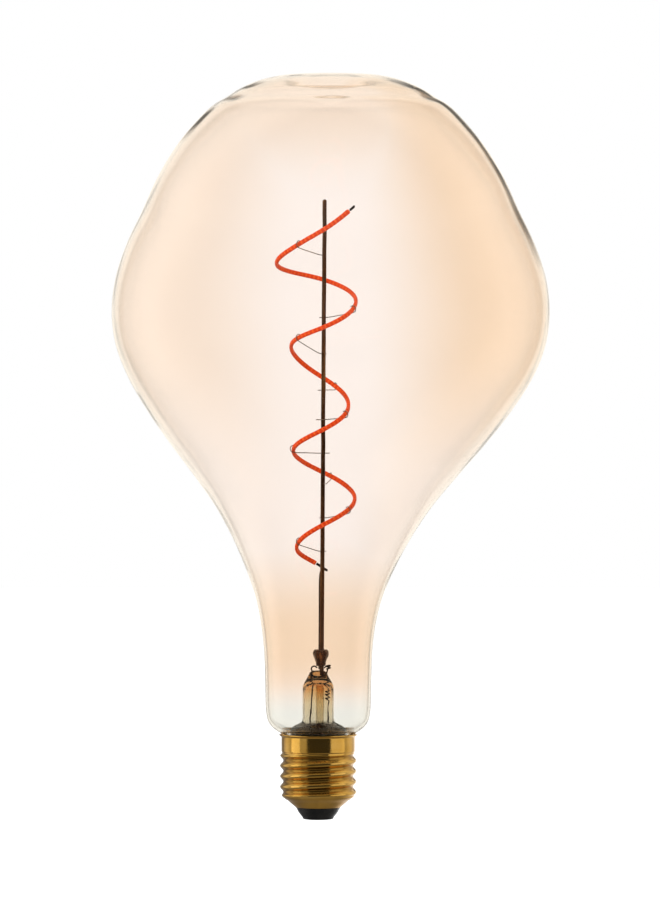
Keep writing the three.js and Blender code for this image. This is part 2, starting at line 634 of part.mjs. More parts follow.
const rivetHole = RIVET_RADIUS + CLEARANCE;
const underCone = CONE.map(([radius, height]) => [radius - SHELL_WALL - SEAT_GAP, height + SHELL_WALL / 2]);
const coneFoot = CONE[0];
piece(
  "cap_insulator",
  turned(
    [
      [rivetHole, CONTACT_THICKNESS + CLEARANCE], [CONTACT_RADIUS + CLEARANCE, CONTACT_THICKNESS + CLEARANCE],
      [CONTACT_RADIUS + CLEARANCE, CONTACT_PROUD], [INSULATOR_FOOT_RADIUS - 0.45, CONTACT_PROUD],
      [INSULATOR_FOOT_RADIUS - 0.1, CONTACT_PROUD + 0.3], [INSULATOR_FOOT_RADIUS + 0.1, CONTACT_PROUD + 0.85],
      [coneFoot[0] - 0.05, coneFoot[1] - CLEARANCE], ...underCone,
      [underCone[underCone.length - 1][0], INSULATOR_TOP], [rivetHole, INSULATOR_TOP],
      [rivetHole, CONTACT_THICKNESS + CLEARANCE],
    ],
    26,
  ),
  BLACK_GLASS,
);

piece(
  "centre_contact",
  turned(
    [
      [0, 0], [CONTACT_RADIUS - 0.4, 0], [CONTACT_RADIUS, 0.3], [CONTACT_RADIUS, CONTACT_THICKNESS],
      [RIVET_RADIUS, CONTACT_THICKNESS], [RIVET_RADIUS, RIVET_TOP], [0, RIVET_TOP],
    ],
    24,
  ),
  CONTACT_METAL,
);

const cementInner = NECK_MOUTH_RADIUS + 1.5 * CLEARANCE;
const cementOuter = 0.988 * (BAND_RADIUS - SHELL_WALL);
const cementBottom = Math.max(NECK_MOUTH - 0.8, THREAD_TOP + 0.4);
piece(
  "base_cement",
  turned(
    [
      [cementInner, cementBottom], [cementOuter, cementBottom], [cementOuter, RIM_HEIGHT - 1.1],
      [cementInner + CLEARANCE / 2, RIM_HEIGHT - 1.4], [cementInner, cementBottom],
    ],
    30,
  ),
  CEMENT,
);

// ---------- driver and radio ----------

function block(width, depth, height) {
  return new THREE.BoxGeometry(width, depth, height);
}
const boardFront = BOARD_Y - BOARD_THICKNESS / 2;
const boardBack = BOARD_Y + BOARD_THICKNESS / 2;

place(
  piece("driver_board", block(BOARD_WIDTH, BOARD_THICKNESS, BOARD_HEIGHT), BOARD_RESIN),
  0, BOARD_Y, BOARD_BOTTOM + BOARD_HEIGHT / 2,
);

const CAPACITOR_RADIUS = 3.15;
const CAPACITOR_LENGTH = 8.4;
place(
  piece(
    "bulk_capacitor",
    turned(
      [
        [0, 0], [CAPACITOR_RADIUS - 0.2, 0], [CAPACITOR_RADIUS, 0.3], [CAPACITOR_RADIUS, 1],
        [CAPACITOR_RADIUS - 0.25, 1.4], [CAPACITOR_RADIUS, 1.8], [CAPACITOR_RADIUS, CAPACITOR_LENGTH - 0.3],
        [CAPACITOR_RADIUS - 0.4, CAPACITOR_LENGTH], [0, CAPACITOR_LENGTH],
      ],
      20,
    ),
    SLEEVE,
  ),
  -0.26 * BOARD_WIDTH, boardFront - CLEARANCE - CAPACITOR_RADIUS, BOARD_BOTTOM + 1.4,
);

// The choke: a ferrite bobbin with its winding, lying against the board.
const CHOKE_RADIUS = 2.7;
const CHOKE_CORE_RADIUS = 1.3;
const CHOKE_LENGTH = 5.4;
const CHOKE_FLANGE = 0.9;
const chokeHeight = BOARD_BOTTOM + 2.4;
const chokeX = 0.25 * BOARD_WIDTH;
const chokeY = boardFront - CLEARANCE - CHOKE_RADIUS;
place(
  piece(
    "choke_core",
    turned(
      [
        [0, 0], [CHOKE_RADIUS, 0], [CHOKE_RADIUS, CHOKE_FLANGE], [CHOKE_CORE_RADIUS, CHOKE_FLANGE],
        [CHOKE_CORE_RADIUS, CHOKE_LENGTH - CHOKE_FLANGE], [CHOKE_RADIUS, CHOKE_LENGTH - CHOKE_FLANGE],
        [CHOKE_RADIUS, CHOKE_LENGTH], [0, CHOKE_LENGTH],
      ],
      18,
    ),
    FERRITE,
  ),
  chokeX, chokeY, chokeHeight,
);
const windingInner = CHOKE_CORE_RADIUS + CLEARANCE;
const windingOuter = CHOKE_RADIUS - 0.3;
place(
  piece(
    "choke_winding",
    turned(
      [
        [windingInner, CHOKE_FLANGE + CLEARANCE], [windingOuter, CHOKE_FLANGE + CLEARANCE],
        [windingOuter, CHOKE_LENGTH - CHOKE_FLANGE - CLEARANCE],
        [windingInner, CHOKE_LENGTH - CHOKE_FLANGE - CLEARANCE], [windingInner, CHOKE_FLANGE + CLEARANCE],
      ],
      18,
    ),
    COPPER,
  ),
  chokeX, chokeY, chokeHeight,
);

const CHIP_DEPTH = 1.5;
const chipHeight = 0.34 * BOARD_HEIGHT;
const chipY = boardBack + CLEARANCE + CHIP_DEPTH / 2;
place(
  piece("bridge_rectifier", block(4.6, CHIP_DEPTH, chipHeight), CHIP_PLASTIC),
  -0.3 * BOARD_WIDTH, chipY, BOARD_BOTTOM + 0.25 * BOARD_HEIGHT,
);
place(
  piece("driver_chip", block(4.9, CHIP_DEPTH, chipHeight), CHIP_PLASTIC),
  -0.3 * BOARD_WIDTH, chipY, BOARD_BOTTOM + 0.75 * BOARD_HEIGHT,
);

// The radio board stands behind the driver board, with its antenna end up inside the flare's mouth.
const RADIO_WIDTH = 0.48 * BOARD_WIDTH;
const RADIO_THICKNESS = 0.8;
const RADIO_BOTTOM = BOARD_BOTTOM + 3;
const RADIO_TOP = RIM_HEIGHT - 2.2;
const RADIO_HEIGHT = RADIO_TOP - RADIO_BOTTOM;
const radioX = 0.09 * BOARD_WIDTH;
const radioY = boardBack + 2.9;
place(
  piece("radio_board", block(RADIO_WIDTH, RADIO_THICKNESS, RADIO_HEIGHT), BOARD_RESIN),
  radioX, radioY, RADIO_BOTTOM + RADIO_HEIGHT / 2,
);
const SHIELD_DEPTH = 1.6;
place(
  piece("radio_shield", block(RADIO_WIDTH - 1.4, SHIELD_DEPTH, 0.6 * RADIO_HEIGHT), TIN),
  radioX, radioY + RADIO_THICKNESS / 2 + CLEARANCE + SHIELD_DEPTH / 2, RADIO_BOTTOM + 0.36 * RADIO_HEIGHT,
);
const HEADER_DEPTH = radioY - RADIO_THICKNESS / 2 - boardBack - 2 * CLEARANCE;
place(
  piece("radio_header", block(6.2, HEADER_DEPTH, 1.6), CHIP_PLASTIC),
  radioX, boardBack + CLEARANCE + HEADER_DEPTH / 2, RADIO_BOTTOM + 1.6,
);

// The fusible resistor lies across the bottom of the board, and its lead comes up from the contact's rivet.
const RESISTOR_RADIUS = 1.1;
const RESISTOR_LENGTH = 6;
const resistorX = 0.32 * BOARD_WIDTH;
const resistorY = boardBack + CLEARANCE + RESISTOR_RADIUS;
const resistorZ = BOARD_BOTTOM + RESISTOR_RADIUS + 0.2;
const resistorSection = [
  [0.8, 0.5], [1, 0.42], [1, 0.27], [0.77, 0.2], [0.77, -0.2], [1, -0.27], [1, -0.42], [0.8, -0.5],
];
piece(
  "fuse_resistor",
  turned(
    [
      [0, -RESISTOR_LENGTH / 2],
      ...resistorSection.reverse().map(([out, along]) => [out * RESISTOR_RADIUS, along * RESISTOR_LENGTH]),
      [0, RESISTOR_LENGTH / 2],
    ],
    14,
  ).rotateY(Math.PI / 2).translate(resistorX, resistorY, resistorZ),
  RESISTOR_LACQUER,
);
piece(
  "contact_wire",
  wire(
    [
      [0, 0, RIVET_TOP + CLEARANCE], [0, 0.2, INSULATOR_TOP + 0.4], [0.7, resistorY - 0.5, BOARD_BOTTOM],
      [1.6, resistorY, resistorZ - 0.1],
      [resistorX - RESISTOR_LENGTH / 2 - 1.5 * CLEARANCE, resistorY, resistorZ],
    ],
    WIRE_RADIUS, 12,
  ),
  WIRE_SLEEVING,
);
const boardEdge = BOARD_WIDTH / 2 + 2 * CLEARANCE;
const threadBore = THREAD_MAJOR_RADIUS - THREAD_DEPTH - SHELL_WALL;
const shellWireX = threadBore - WIRE_RADIUS - SEAT_GAP;
piece(
  "shell_wire",
  wire(
    [
      [-boardEdge, BOARD_Y, BOARD_BOTTOM + 0.57 * BOARD_HEIGHT],
      [-(boardEdge + shellWireX) / 2, BOARD_Y, BOARD_TOP - 3.6],
      [-shellWireX, BOARD_Y, BOARD_TOP - 0.8], [-shellWireX, BOARD_Y, cementBottom - 1.4],
      [-(BAND_RADIUS - SHELL_WALL - WIRE_RADIUS - 2.5 * CLEARANCE), BOARD_Y, cementBottom - 0.5],
    ],
    WIRE_RADIUS, 12,
  ),
  WIRE_SLEEVING,
);

export default bulb;
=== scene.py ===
"""The looks of a decorative LED filament light bulb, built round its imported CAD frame.

Lengths inside the shape functions are millimetres, and every mesh is scaled to metres as it is made. +Z runs
from the contact to the top of the glass, and the bulb's front faces -Y.
"""

import math

import bmesh
import bpy
from bpy.props import FloatProperty, FloatVectorProperty, IntProperty, PointerProperty
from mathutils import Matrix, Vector, noise


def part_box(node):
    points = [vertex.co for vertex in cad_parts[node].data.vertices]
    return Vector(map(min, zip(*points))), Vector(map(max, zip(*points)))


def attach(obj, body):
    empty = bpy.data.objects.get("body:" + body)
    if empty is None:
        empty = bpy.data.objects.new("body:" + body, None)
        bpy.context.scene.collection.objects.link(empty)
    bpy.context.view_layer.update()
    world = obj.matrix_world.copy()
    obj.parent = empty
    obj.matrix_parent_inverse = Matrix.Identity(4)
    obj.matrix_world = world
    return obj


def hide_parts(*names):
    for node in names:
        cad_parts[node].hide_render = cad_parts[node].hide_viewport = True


bl_info = {
    "name": "Filament bulb",
    "version": (1, 0, 0),
    "blender": (4, 5, 0),
    "location": "View3D > Sidebar > Bulb",
    "description": "Builds the glass, stem, filament, cap and stage of a large decorative LED filament bulb",
    "category": "Object",
}

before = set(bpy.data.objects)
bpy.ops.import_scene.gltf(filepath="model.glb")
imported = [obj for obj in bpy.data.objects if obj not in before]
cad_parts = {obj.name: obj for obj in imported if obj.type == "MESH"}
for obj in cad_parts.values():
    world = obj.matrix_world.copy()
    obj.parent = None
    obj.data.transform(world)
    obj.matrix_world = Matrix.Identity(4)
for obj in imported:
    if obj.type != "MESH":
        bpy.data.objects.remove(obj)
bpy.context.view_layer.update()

MM = 0.001
INCH = 25.4
TURN = 2 * math.pi
UP = Vector((0, 0, 1))
WHITE = (1, 1, 1, 1)
GLASS_BOUNCES = 24  # light passes up to twelve glass faces on its way through the stem
CAMERA_PLACE = (0.00407, -1.9, 0.127)  # straight in front of the bulb, level with its middle
CAMERA_LENS, CAMERA_SENSOR = 220, 36


def box_mm(node):
    """The lowest and highest corners of a CAD node, in millimetres."""
    low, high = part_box(node)
    return low / MM, high / MM


# Heights that the frame gives.
MOUTH_Z = box_mm("glass_envelope")[0].z
BULB_TOP = box_mm("glass_envelope")[1].z
RIM_Z = box_mm("cap_shell")[1].z
CONE_FOOT_Z = box_mm("cap_shell")[0].z
FLARE_Z = box_mm("stem_flare")[0].z
PRESS_TOP = box_mm("stem_flare")[1].z
POST_FOOT = box_mm("support_post")[0].z
POST_HEAD = box_mm("support_post")[1].z
FILAMENT_LOW = PRESS_TOP + 34.2
RIM_RADIUS = box_mm("cap_shell")[1].x
PRESS_FROM = PRESS_TOP - 6.1  # where the stem's tube begins to narrow into the press
MOUTH_RADIUS = RIM_RADIUS - 2.1  # the glass neck inside the cap
SHELL_WALL = 0.35
THREAD_START = 2.4  # the azimuth of the crest at height 0, in radians
THREAD_ROWS, LINING_ROWS = 110, 50  # mesh rows up the thread, outside and inside
TAB_WIDTH, TAB_THICKNESS = 0.9, 0.35
RETURN_RADIUS, LINK_RADIUS = 0.3, 0.09
RETURN_AZIMUTH = 2.44  # round the post, in radians
BEAD_BULGE = 1.45  # how far the bead stands out from its bore
CLEARANCE = 0.1  # between pieces that only touch

# The envelope's shoulder above the cap: share of the way out to the neck's radius, and rise.
SHOULDER = [(0, 0), (0.32, 1.2), (0.61, 2.6), (0.83, 4.6), (0.95, 8.1)]
# The body: share of the way out from the neck's radius to the body's, and share of the body's height.
BODY = [
    (0, 0), (0.007, 0.053), (0.028, 0.1), (0.065, 0.143), (0.126, 0.186), (0.221, 0.239), (0.34, 0.292),
    (0.486, 0.344), (0.642, 0.397), (0.782, 0.449), (0.9, 0.502), (0.972, 0.55), (1, 0.593), (1, 0.631),
    (0.974, 0.674), (0.907, 0.727), (0.816, 0.779), (0.728, 0.832), (0.614, 0.884), (0.498, 0.924),
    (0.398, 0.951), (0.318, 0.964), (0.237, 0.978), (0.128, 0.991),
]
# The shallow dish in the top: radius, and depth below the dish's rim.
DISH = [(20.5, 0.5), (16.5, 0), (12, 1), (6.5, 3.1), (0, 4)]
# Soft dents of the hand-blown glass: azimuth, share of the body's height, reach around, reach up, depth.
DENTS = [
    (168, 0.942, 12, 7, 0.9), (12, 0.903, 14, 12, 0.8), (-80, 0.76, 34, 24, 1.6), (68, 0.798, 34, 26, 1.8),
    (125, 0.492, 32, 28, 1.5), (-122, 0.435, 30, 28, 1.4), (-50, 0.387, 24, 24, 1.0),
    (50, 0.339, 24, 24, 1.2),
]
# The filament, a quarter turn to a row: share of its height, and share of its swing.
FILAMENT_ROWS = [
    (1, 0.823), (0.909, 0.738), (0.823, 1), (0.781, 0.805), (0.718, 0.671), (0.649, 0.713), (0.596, 0.683),
    (0.516, 0.616), (0.442, 0.53), (0.379, 0.549), (0.325, 0.622), (0.266, 0.652), (0.197, 0.671),
    (0.126, 0.665), (0.056, 0.524), (0.011, 0.195), (0, 0.183),
]
# Places along the filament, in quarter turns from its upper end.
FILAMENT_FROM, FILAMENT_TO = 0.53, 14.68
CHIP_SPACING = 1.5  # from bead to bead along the filament
TAB_GAP = 0.02
TOP_TAB_FROM, BOTTOM_TAB_TO = 0.4, 15.45
LINK_FROM = TOP_TAB_FROM + 0.03
HOOK_PLACES = [1.43, 4.29, 5.53, 7.28, 8.34, 9.94, 11.16, 12.44, 13.6]
# How far below the filament each hook meets the post.
HOOK_DROPS = [2.1, 1.5, 4.2, 0.2, 0.6, 0.3, 1.4, 1.5, 2.3]


# ---------- settings ----------


def length_setting(name, description, default):
    return FloatProperty(name=name, description=description, default=default, unit="LENGTH")


def colour_setting(name, description, *default):
    return FloatVectorProperty(
        name=name, description=description, subtype="COLOR", size=4, default=(*default, 1), min=0, max=1
    )


class BulbGlassSettings(bpy.types.PropertyGroup):
    """Sizes and colours of the glass envelope."""

    neck_radius: length_setting("Neck radius", "Radius of the neck above the cap", 0.0183)
    neck_length: length_setting("Neck length", "Height of the neck above the cap", 0.0176)
    body_radius: length_setting("Body radius", "Greatest radius of the glass body", 0.0753)
    lean: length_setting("Lean", "How far the body's axis leans towards +X", 0.0043)
    wall: length_setting("Wall", "Thickness of the glass", 0.0011)
    clear_tint: colour_setting("Clear tint", "What a wall of the clear foot lets through", 0.93, 0.924, 0.885)
    pale_tint: colour_setting("Pale amber", "What a wall lets through in thin film", 0.995, 0.94, 0.905)
    deep_tint: colour_setting("Deep amber", "What a wall lets through in thick film", 0.965, 0.832, 0.705)


class BulbStemSettings(bpy.types.PropertyGroup):
    """Sizes of the glass stem, the post and the wires."""

    stem_radius: length_setting("Stem radius", "Radius of the stem's tube", 0.00535)
    stem_wall: length_setting("Stem wall", "Wall of the stem", 0.0007)
    press_width: length_setting("Press width", "Width of the pinched press", 0.0058)
    press_depth: length_setting("Press depth", "Thickness of the pinched press", 0.0034)
    post_radius: length_setting("Post radius", "Radius of the metal post", 0.00075)
    lead_radius: length_setting("Lead radius", "Radius of the lead wires", 0.00025)


class BulbFilamentSettings(bpy.types.PropertyGroup):
    """Sizes and colour of the flexible filament and its hooks."""

    height: length_setting("Height", "Rise of the spiral from end to end", 0.1291)
    swing: length_setting("Swing", "Greatest distance from the post", 0.0164)
    width: length_setting("Width", "Upright width of the strip", 0.0016)
    thickness: length_setting("Thickness", "Thickness of the strip", 0.0013)
    hook_radius: length_setting("Hook wire radius", "Radius of the hooks' wire", 0.00015)
    colour: colour_setting("Silicone colour", "Colour of the filament's silicone", 0.56, 0.052, 0.004)
    glow: FloatProperty(
        name="Glow", description="How strongly the filament shines by itself", default=0.25, min=0, max=20
    )


class BulbCapSettings(bpy.types.PropertyGroup):
    """Sizes and colour of the screw cap."""

    thread_radius: length_setting("Thread radius", "Outer radius of the thread's crest", 0.01315)
    thread_depth: length_setting("Thread depth", "Depth of the rolled thread", 0.0011)
    thread_bottom: length_setting("Thread bottom", "Height of the thread's lower end", 0.0079)
    thread_length: length_setting("Thread length", "Length of the threaded part", 0.0153)
    turns_per_inch: FloatProperty(
        name="Turns per inch", description="Pitch of the thread", default=7, min=1, max=20
    )
    brass: colour_setting("Brass", "Colour of the cap's brass", 0.68, 0.37, 0.065)
    steps_around: IntProperty(
        name="Steps around", description="Mesh steps round the cap", default=144, min=24, max=512
    )


class BulbStageSettings(bpy.types.PropertyGroup):
    """The stage: floor, lamps and surroundings."""

    floor_radius: length_setting("Floor radius", "Radius of the round floor", 4.0)
    floor_drop: length_setting("Floor drop", "How far the floor lies below the contact", 0.02)
    floor_colour: colour_setting("Floor colour", "Colour of the floor", 0.9, 0.9, 0.9)
    ambient: FloatProperty(
        name="Ambient", description="Strength of the white surroundings", default=1.25, min=0, max=10
    )
    key_power: FloatProperty(
        name="Key lamp", description="Power of the left lamp", default=22, min=0, subtype="POWER"
    )
    fill_power: FloatProperty(
        name="Fill lamp", description="Power of the right lamp", default=9, min=0, subtype="POWER"
    )


def settings(name):
    """One group of settings of the scene."""
    return getattr(bpy.context.scene, "bulb_" + name)


# ---------- numbers ----------


def lerp(a, b, share):
    return a + (b - a) * share


def smooth(start, end, value):
    share = min(max((value - start) / (end - start), 0), 1)
    return share * share * (3 - 2 * share)


def eased(points, steps):
    """A smooth open line through points: centripetal Catmull-Rom, with that many steps to a stretch."""
    points = [Vector(p) for p in points]
    points = [2 * points[0] - points[1], *points, 2 * points[-1] - points[-2]]
    line = []
    for a, b, c, d in zip(points, points[1:], points[2:], points[3:]):
        t1 = max(math.sqrt((b - a).length), 1e-4)
        t2 = t1 + max(math.sqrt((c - b).length), 1e-4)
        t3 = t2 + max(math.sqrt((d - c).length), 1e-4)
        for k in range(steps):
            t = lerp(t1, t2, k / steps)
            ab = a.lerp(b, t / t1)
            bc = b.lerp(c, (t - t1) / (t2 - t1))
            cd = c.lerp(d, (t - t2) / (t3 - t2))
            line.append(ab.lerp(bc, t / t2).lerp(bc.lerp(cd, (t - t1) / (t3 - t1)), (t - t1) / (t2 - t1)))
    line.append(points[-2].copy())
    return line


# ---------- meshes ----------


def make_piece(name, vertices, faces, material, sharp, values=None):
    """An object from millimetre vertices, smooth apart from edges sharper than an angle in degrees."""
    mesh = bpy.data.meshes.new(name)
    mesh.from_pydata([Vector(v) * MM for v in vertices], [], faces)
    for key, numbers in (values or {}).items():
        mesh.attributes.new(key, "FLOAT", "POINT").data.foreach_set("value", numbers)
    work = bmesh.new()
    work.from_mesh(mesh)
    bmesh.ops.recalc_face_normals(work, faces=work.faces)
    if work.calc_volume(signed=True) < 0:
        bmesh.ops.reverse_faces(work, faces=work.faces)
    work.to_mesh(mesh)
    work.free()
    mesh.polygons.foreach_set("use_smooth", [True] * len(mesh.polygons))
    mesh.set_sharp_from_angle(angle=math.radians(sharp))
    mesh.materials.append(material)
    piece = bpy.data.objects.new(name, mesh)
    bpy.context.scene.collection.objects.link(piece)
    return piece


def join_rings(rings, closed):
    """Vertices and faces of a skin through rings of points. A ring of one point is a pole."""
    vertices, starts, faces = [], [], []
    for ring in rings:
        starts.append(len(vertices))
        vertices.extend(ring)
    pairs = list(zip(range(len(rings) - 1), range(1, len(rings))))
    if closed:
        pairs.append((len(rings) - 1, 0))
    for a, b in pairs:
        count = max(len(rings[a]), len(rings[b]))
        for i in range(count):
            j = (i + 1) % count
            if len(rings[a]) == 1 and len(rings[b]) == 1:
                continue
            if len(rings[a]) == 1:
                faces.append((starts[a], starts[b] + j, starts[b] + i))
            elif len(rings[b]) == 1:
                faces.append((starts[a] + i, starts[a] + j, starts[b]))
            else:
                faces.append((starts[a] + i, starts[a] + j, starts[b] + j, starts[b] + i))
    return vertices, faces


def skin(name, rings, material, sharp, closed=False, values=None):
    """A piece whose skin passes through rings of points. values maps a name to one number a ring."""
    vertices, faces = join_rings(rings, closed)
    spread = {
        key: [number for number, ring in zip(numbers, rings) for _ in ring]
        for key, numbers in (values or {}).items()
    }
    return make_piece(name, vertices, faces, material, sharp, spread)


def circle(radius, height, steps, x=0.0, y=0.0):
    if radius < 1e-4:
        return [Vector((x, y, height))]
    return [
        Vector((x + radius * math.cos(TURN * i / steps), y + radius * math.sin(TURN * i / steps), height))
        for i in range(steps)
    ]


def turned(name, outline, material, steps, sharp, x=0.0, closed=False):
    """A turned piece from its outline of (radius, height)."""
    return skin(name, [circle(r, z, steps, x) for r, z in outline], material, sharp, closed)


def drawn(name, line, radius, material, sides=14):
    """A round wire along a line, with domed ends and its length stored along it."""
    rings, lengths, run = [], [], 0.0
    ahead = (line[1] - line[0]).normalized()
    side = ahead.orthogonal().normalized()
    for k, point in enumerate(line):
        before, after = line[max(k - 1, 0)], line[min(k + 1, len(line) - 1)]
        ahead = (after - before).normalized()
        side = (side - ahead * side.dot(ahead)).normalized()
        other = ahead.cross(side)
        run += (point - line[k - 1]).length if k else 0
        scales = [(1, 0)]
        if k == 0:
            scales = [(0, 0.0), (0.6, 0.2), (0.9, 0.6), (1, 1)]
        if k == len(line) - 1:
            scales = [(1, -1), (0.9, -0.6), (0.6, -0.2), (0, 0)]
        for width, shift in scales:
            centre = point + ahead * shift * radius
            if width == 0:
                rings.append([centre])
            else:
                rings.append([
                    centre + radius * width * (
                        side * math.cos(TURN * i / sides) + other * math.sin(TURN * i / sides)
                    )
                    for i in range(sides)
                ])
            lengths.append(run)
    return skin(name, rings, material, values={"along": lengths}, sharp=60)


def stand_for(piece, slot, *nodes):
    """The piece rides on the bulb's one body and stands for CAD nodes, which are hidden. slot is not used."""
    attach(piece, "root")
    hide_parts(*nodes)
    return piece


def lets_lamps_through(piece):
    """Glass that the lamps shine through without a shadow."""
    piece.visible_shadow = False


# ---------- materials ----------


class Nodes:
    """The node tree of a material or a world while it is put together."""

    def __init__(self, owner):
        owner.use_nodes = True
        self.tree = owner.node_tree

    def add(self, kind, out=0, set=None, **inputs):
        """A node with its settings and inputs, given by name or position. Returns one of its outputs."""
        node = self.tree.nodes.new("ShaderNode" + kind)
        for key, value in (set or {}).items():
            setattr(node, key, value)
        for key, value in inputs.items():
            numbered = key[0] == "i" and key[1:].isdigit()
            self.feed(node, int(key[1:]) if numbered else key.replace("_", " "), value)
        return node.outputs[out]

    def feed(self, node, socket, value):
        target = node.inputs[socket]
        if isinstance(value, bpy.types.NodeSocket):
            self.tree.links.new(value, target)
        else:
            target.default_value = value

    def maths(self, operation, a, b=0.0):
        return self.add("Math", set={"operation": operation}, i0=a, i1=b)

    def spread(self, value, low, high, start=0.0, end=1.0, kind="SMOOTHSTEP"):
        """The value taken from low...high to start...end."""
        return self.add(
            "MapRange", set={"interpolation_type": kind}, i0=value, i1=low, i2=high, i3=start, i4=end
        )

    def mix(self, share, low, high):
        """A blend of two numbers, or of two colours."""
        if isinstance(high, tuple):
            return self.add("Mix", out=2, set={"data_type": "RGBA"}, i0=share, i6=low, i7=high)
        return self.add("Mix", i0=share, i2=low, i3=high)

    def split(self, vector):
        """The three parts of a vector."""
        return self.add("SeparateXYZ", i0=vector).node.outputs


class Finish(Nodes):
    """A material's nodes while they are put together."""

    def __init__(self, name):
        self.material = bpy.data.materials.new(name)
        super().__init__(self.material)
        self.shader = self.tree.nodes["Principled BSDF"]

    def surface(self, **inputs):
        """Sets the shader's own sockets."""
        for key, value in inputs.items():
            self.feed(self.shader, key.replace("_", " "), value)
        return self.material

    def place(self):
        return self.add("TexCoord", out=3)

    def away(self, x, y):
        """The distance from the middle."""
        squares = self.maths("ADD", self.maths("MULTIPLY", x, x), self.maths("MULTIPLY", y, y))
        return self.maths("SQRT", squares)

    def absorb(self, colour, density):
        volume = self.add("VolumeAbsorption", Color=(*colour, 1), Density=density)
        self.feed(self.tree.nodes["Material Output"], "Volume", volume)

    def grain(self, scale, detail, roughness=0.55, stretch=(1, 1, 1), distortion=0.0):
        """Noise in the object's own place, stretched along its axes."""
        where = self.add("Mapping", i0=self.place(), i3=stretch)
        return self.add(
            "TexNoise", Vector=where, Scale=scale, Detail=detail, Roughness=roughness, Distortion=distortion
        )

    def ramp(self, value, *stops):
        node = self.tree.nodes.new("ShaderNodeValToRGB")
        self.feed(node, 0, value)
        elements = node.color_ramp.elements
        while len(elements) < len(stops):
            elements.new(0.5)
        for element, (position, colour) in zip(elements, stops):
            element.position = position
            element.color = (*colour[:3], 1)
        return node.outputs[0]

    def bump(self, height, distance, strength=1.0, normal=None):
        inputs = {"Height": height, "Distance": distance, "Strength": strength}
        if normal is not None:
            inputs["Normal"] = normal
        return self.add("Bump", **inputs)

    def value(self, key):
        return self.add("Attribute", out=2, set={"attribute_name": key})


def mixed(a, b, share):
    return tuple(lerp(p, q, share) for p, q in zip(a[:3], b[:3]))


def amber_glass():
    """Blown glass with an amber film that is thin at the front and back, thick at the sides and the neck. The
    side film is partly an uneven film and partly painted light: a pale middle with painted shade at the
    sides, most on the right. Painted shade also darkens the right of the lower neck and the crown.
    """
    glass = settings("glass")
    f = Finish("amber_blown_glass")
    xyz = f.split(f.place())
    x = f.maths("SUBTRACT", xyz[0], glass.lean)
    lean = f.maths("DIVIDE", x, f.maths("MAXIMUM", f.away(x, xyz[1]), 0.001))
    cloud = f.grain(9.0, detail=2.0)
    lean = f.maths("ADD", lean, f.maths("MULTIPLY", f.maths("SUBTRACT", cloud, 0.5), 0.2))
    # The film thickens towards the sides, most on the right. This is partly an uneven film and partly painted
    # light: a pale middle with painted shade at the sides.
    side = f.maths("ADD", f.spread(lean, 0.1, 0.75), f.spread(lean, -0.15, -0.7, 0.0, 0.5))
    side = f.maths("MULTIPLY", side, f.spread(xyz[2], 0.11, 0.165, 0.2, 1.0))
    neck = f.spread(xyz[2], 0.1, 0.064)
    crown = f.spread(xyz[2], 0.215, 0.245, 0.0, 0.55)
    film = f.maths("MAXIMUM", f.maths("MAXIMUM", side, neck), crown)
    film = f.maths("MULTIPLY", film, f.spread(xyz[2], 0.03, 0.057))
    fine = f.grain(60.0, detail=4.0)
    film = f.maths("ADD", film, f.maths("MULTIPLY", f.maths("SUBTRACT", fine, 0.5), 0.08))
    amber = f.ramp(
        f.maths("DIVIDE", film, 1.25),
        (0.0, glass.pale_tint), (0.8, glass.deep_tint), (1.0, (0.95, 0.79, 0.62)),
    )
    foot = f.spread(xyz[2], 0.048, 0.034)
    tint = f.mix(foot, amber, tuple(glass.clear_tint))
    # Painted shade: the wall's colour is darkened a little on the right of the lower neck and at the crown.
    low = f.spread(xyz[2], 0.12, 0.09)
    shade = f.maths("MULTIPLY", low, f.spread(lean, -0.3, 0.6, 0.008, 0.02))
    shade = f.maths("ADD", shade, f.spread(xyz[2], 0.215, 0.25, 0.0, 0.025))
    tint = f.add("VectorMath", set={"operation": "SCALE"}, i0=tint, i3=f.maths("SUBTRACT", 1.0, shade))
    ripple = f.grain(70.0, detail=1.0, roughness=0.4, stretch=(1, 1, 0.35))
    f.absorb((0.72, 0.75, 0.66), 22.0)
    return f.surface(
        Base_Color=tint, Transmission_Weight=1.0, Roughness=0.0, IOR=1.48,
        Normal=f.bump(ripple, 0.00012),
    )


def stem_glass():
    """Clear lead glass that turns amber brown in the press. Its flared foot is painted near black: painted
    shade, for the cap's dark inside seen through it.
    """
    f = Finish("stem_glass")
    z = f.split(f.place())[2]
    streak = f.grain(400.0, detail=2.0, stretch=(1, 1, 0.25))
    level = f.maths("ADD", z, f.maths("MULTIPLY", f.maths("SUBTRACT", streak, 0.5), 0.002))
    # At the bottom, up to about 33 mm, the ramp is near black: painted shade on the flared foot, where the
    # cap's dark inside shows through.
    tint = f.ramp(
        f.spread(level, 0.03, 0.05, kind="LINEAR"),
        (0.0, (0.03, 0.02, 0.014)), (0.1, (0.05, 0.033, 0.022)), (0.19, (0.91, 0.86, 0.76)),
        (0.5, (0.93, 0.85, 0.69)), (0.72, (0.9, 0.7, 0.45)), (0.86, (0.78, 0.5, 0.26)),
        (1.0, (0.66, 0.35, 0.14)),
    )
    f.absorb((0.6, 0.55, 0.4), 90.0)
    return f.surface(
        Base_Color=tint, Transmission_Weight=1.0, Roughness=0.0, IOR=1.55,
        Normal=f.bump(streak, 0.0001),
    )


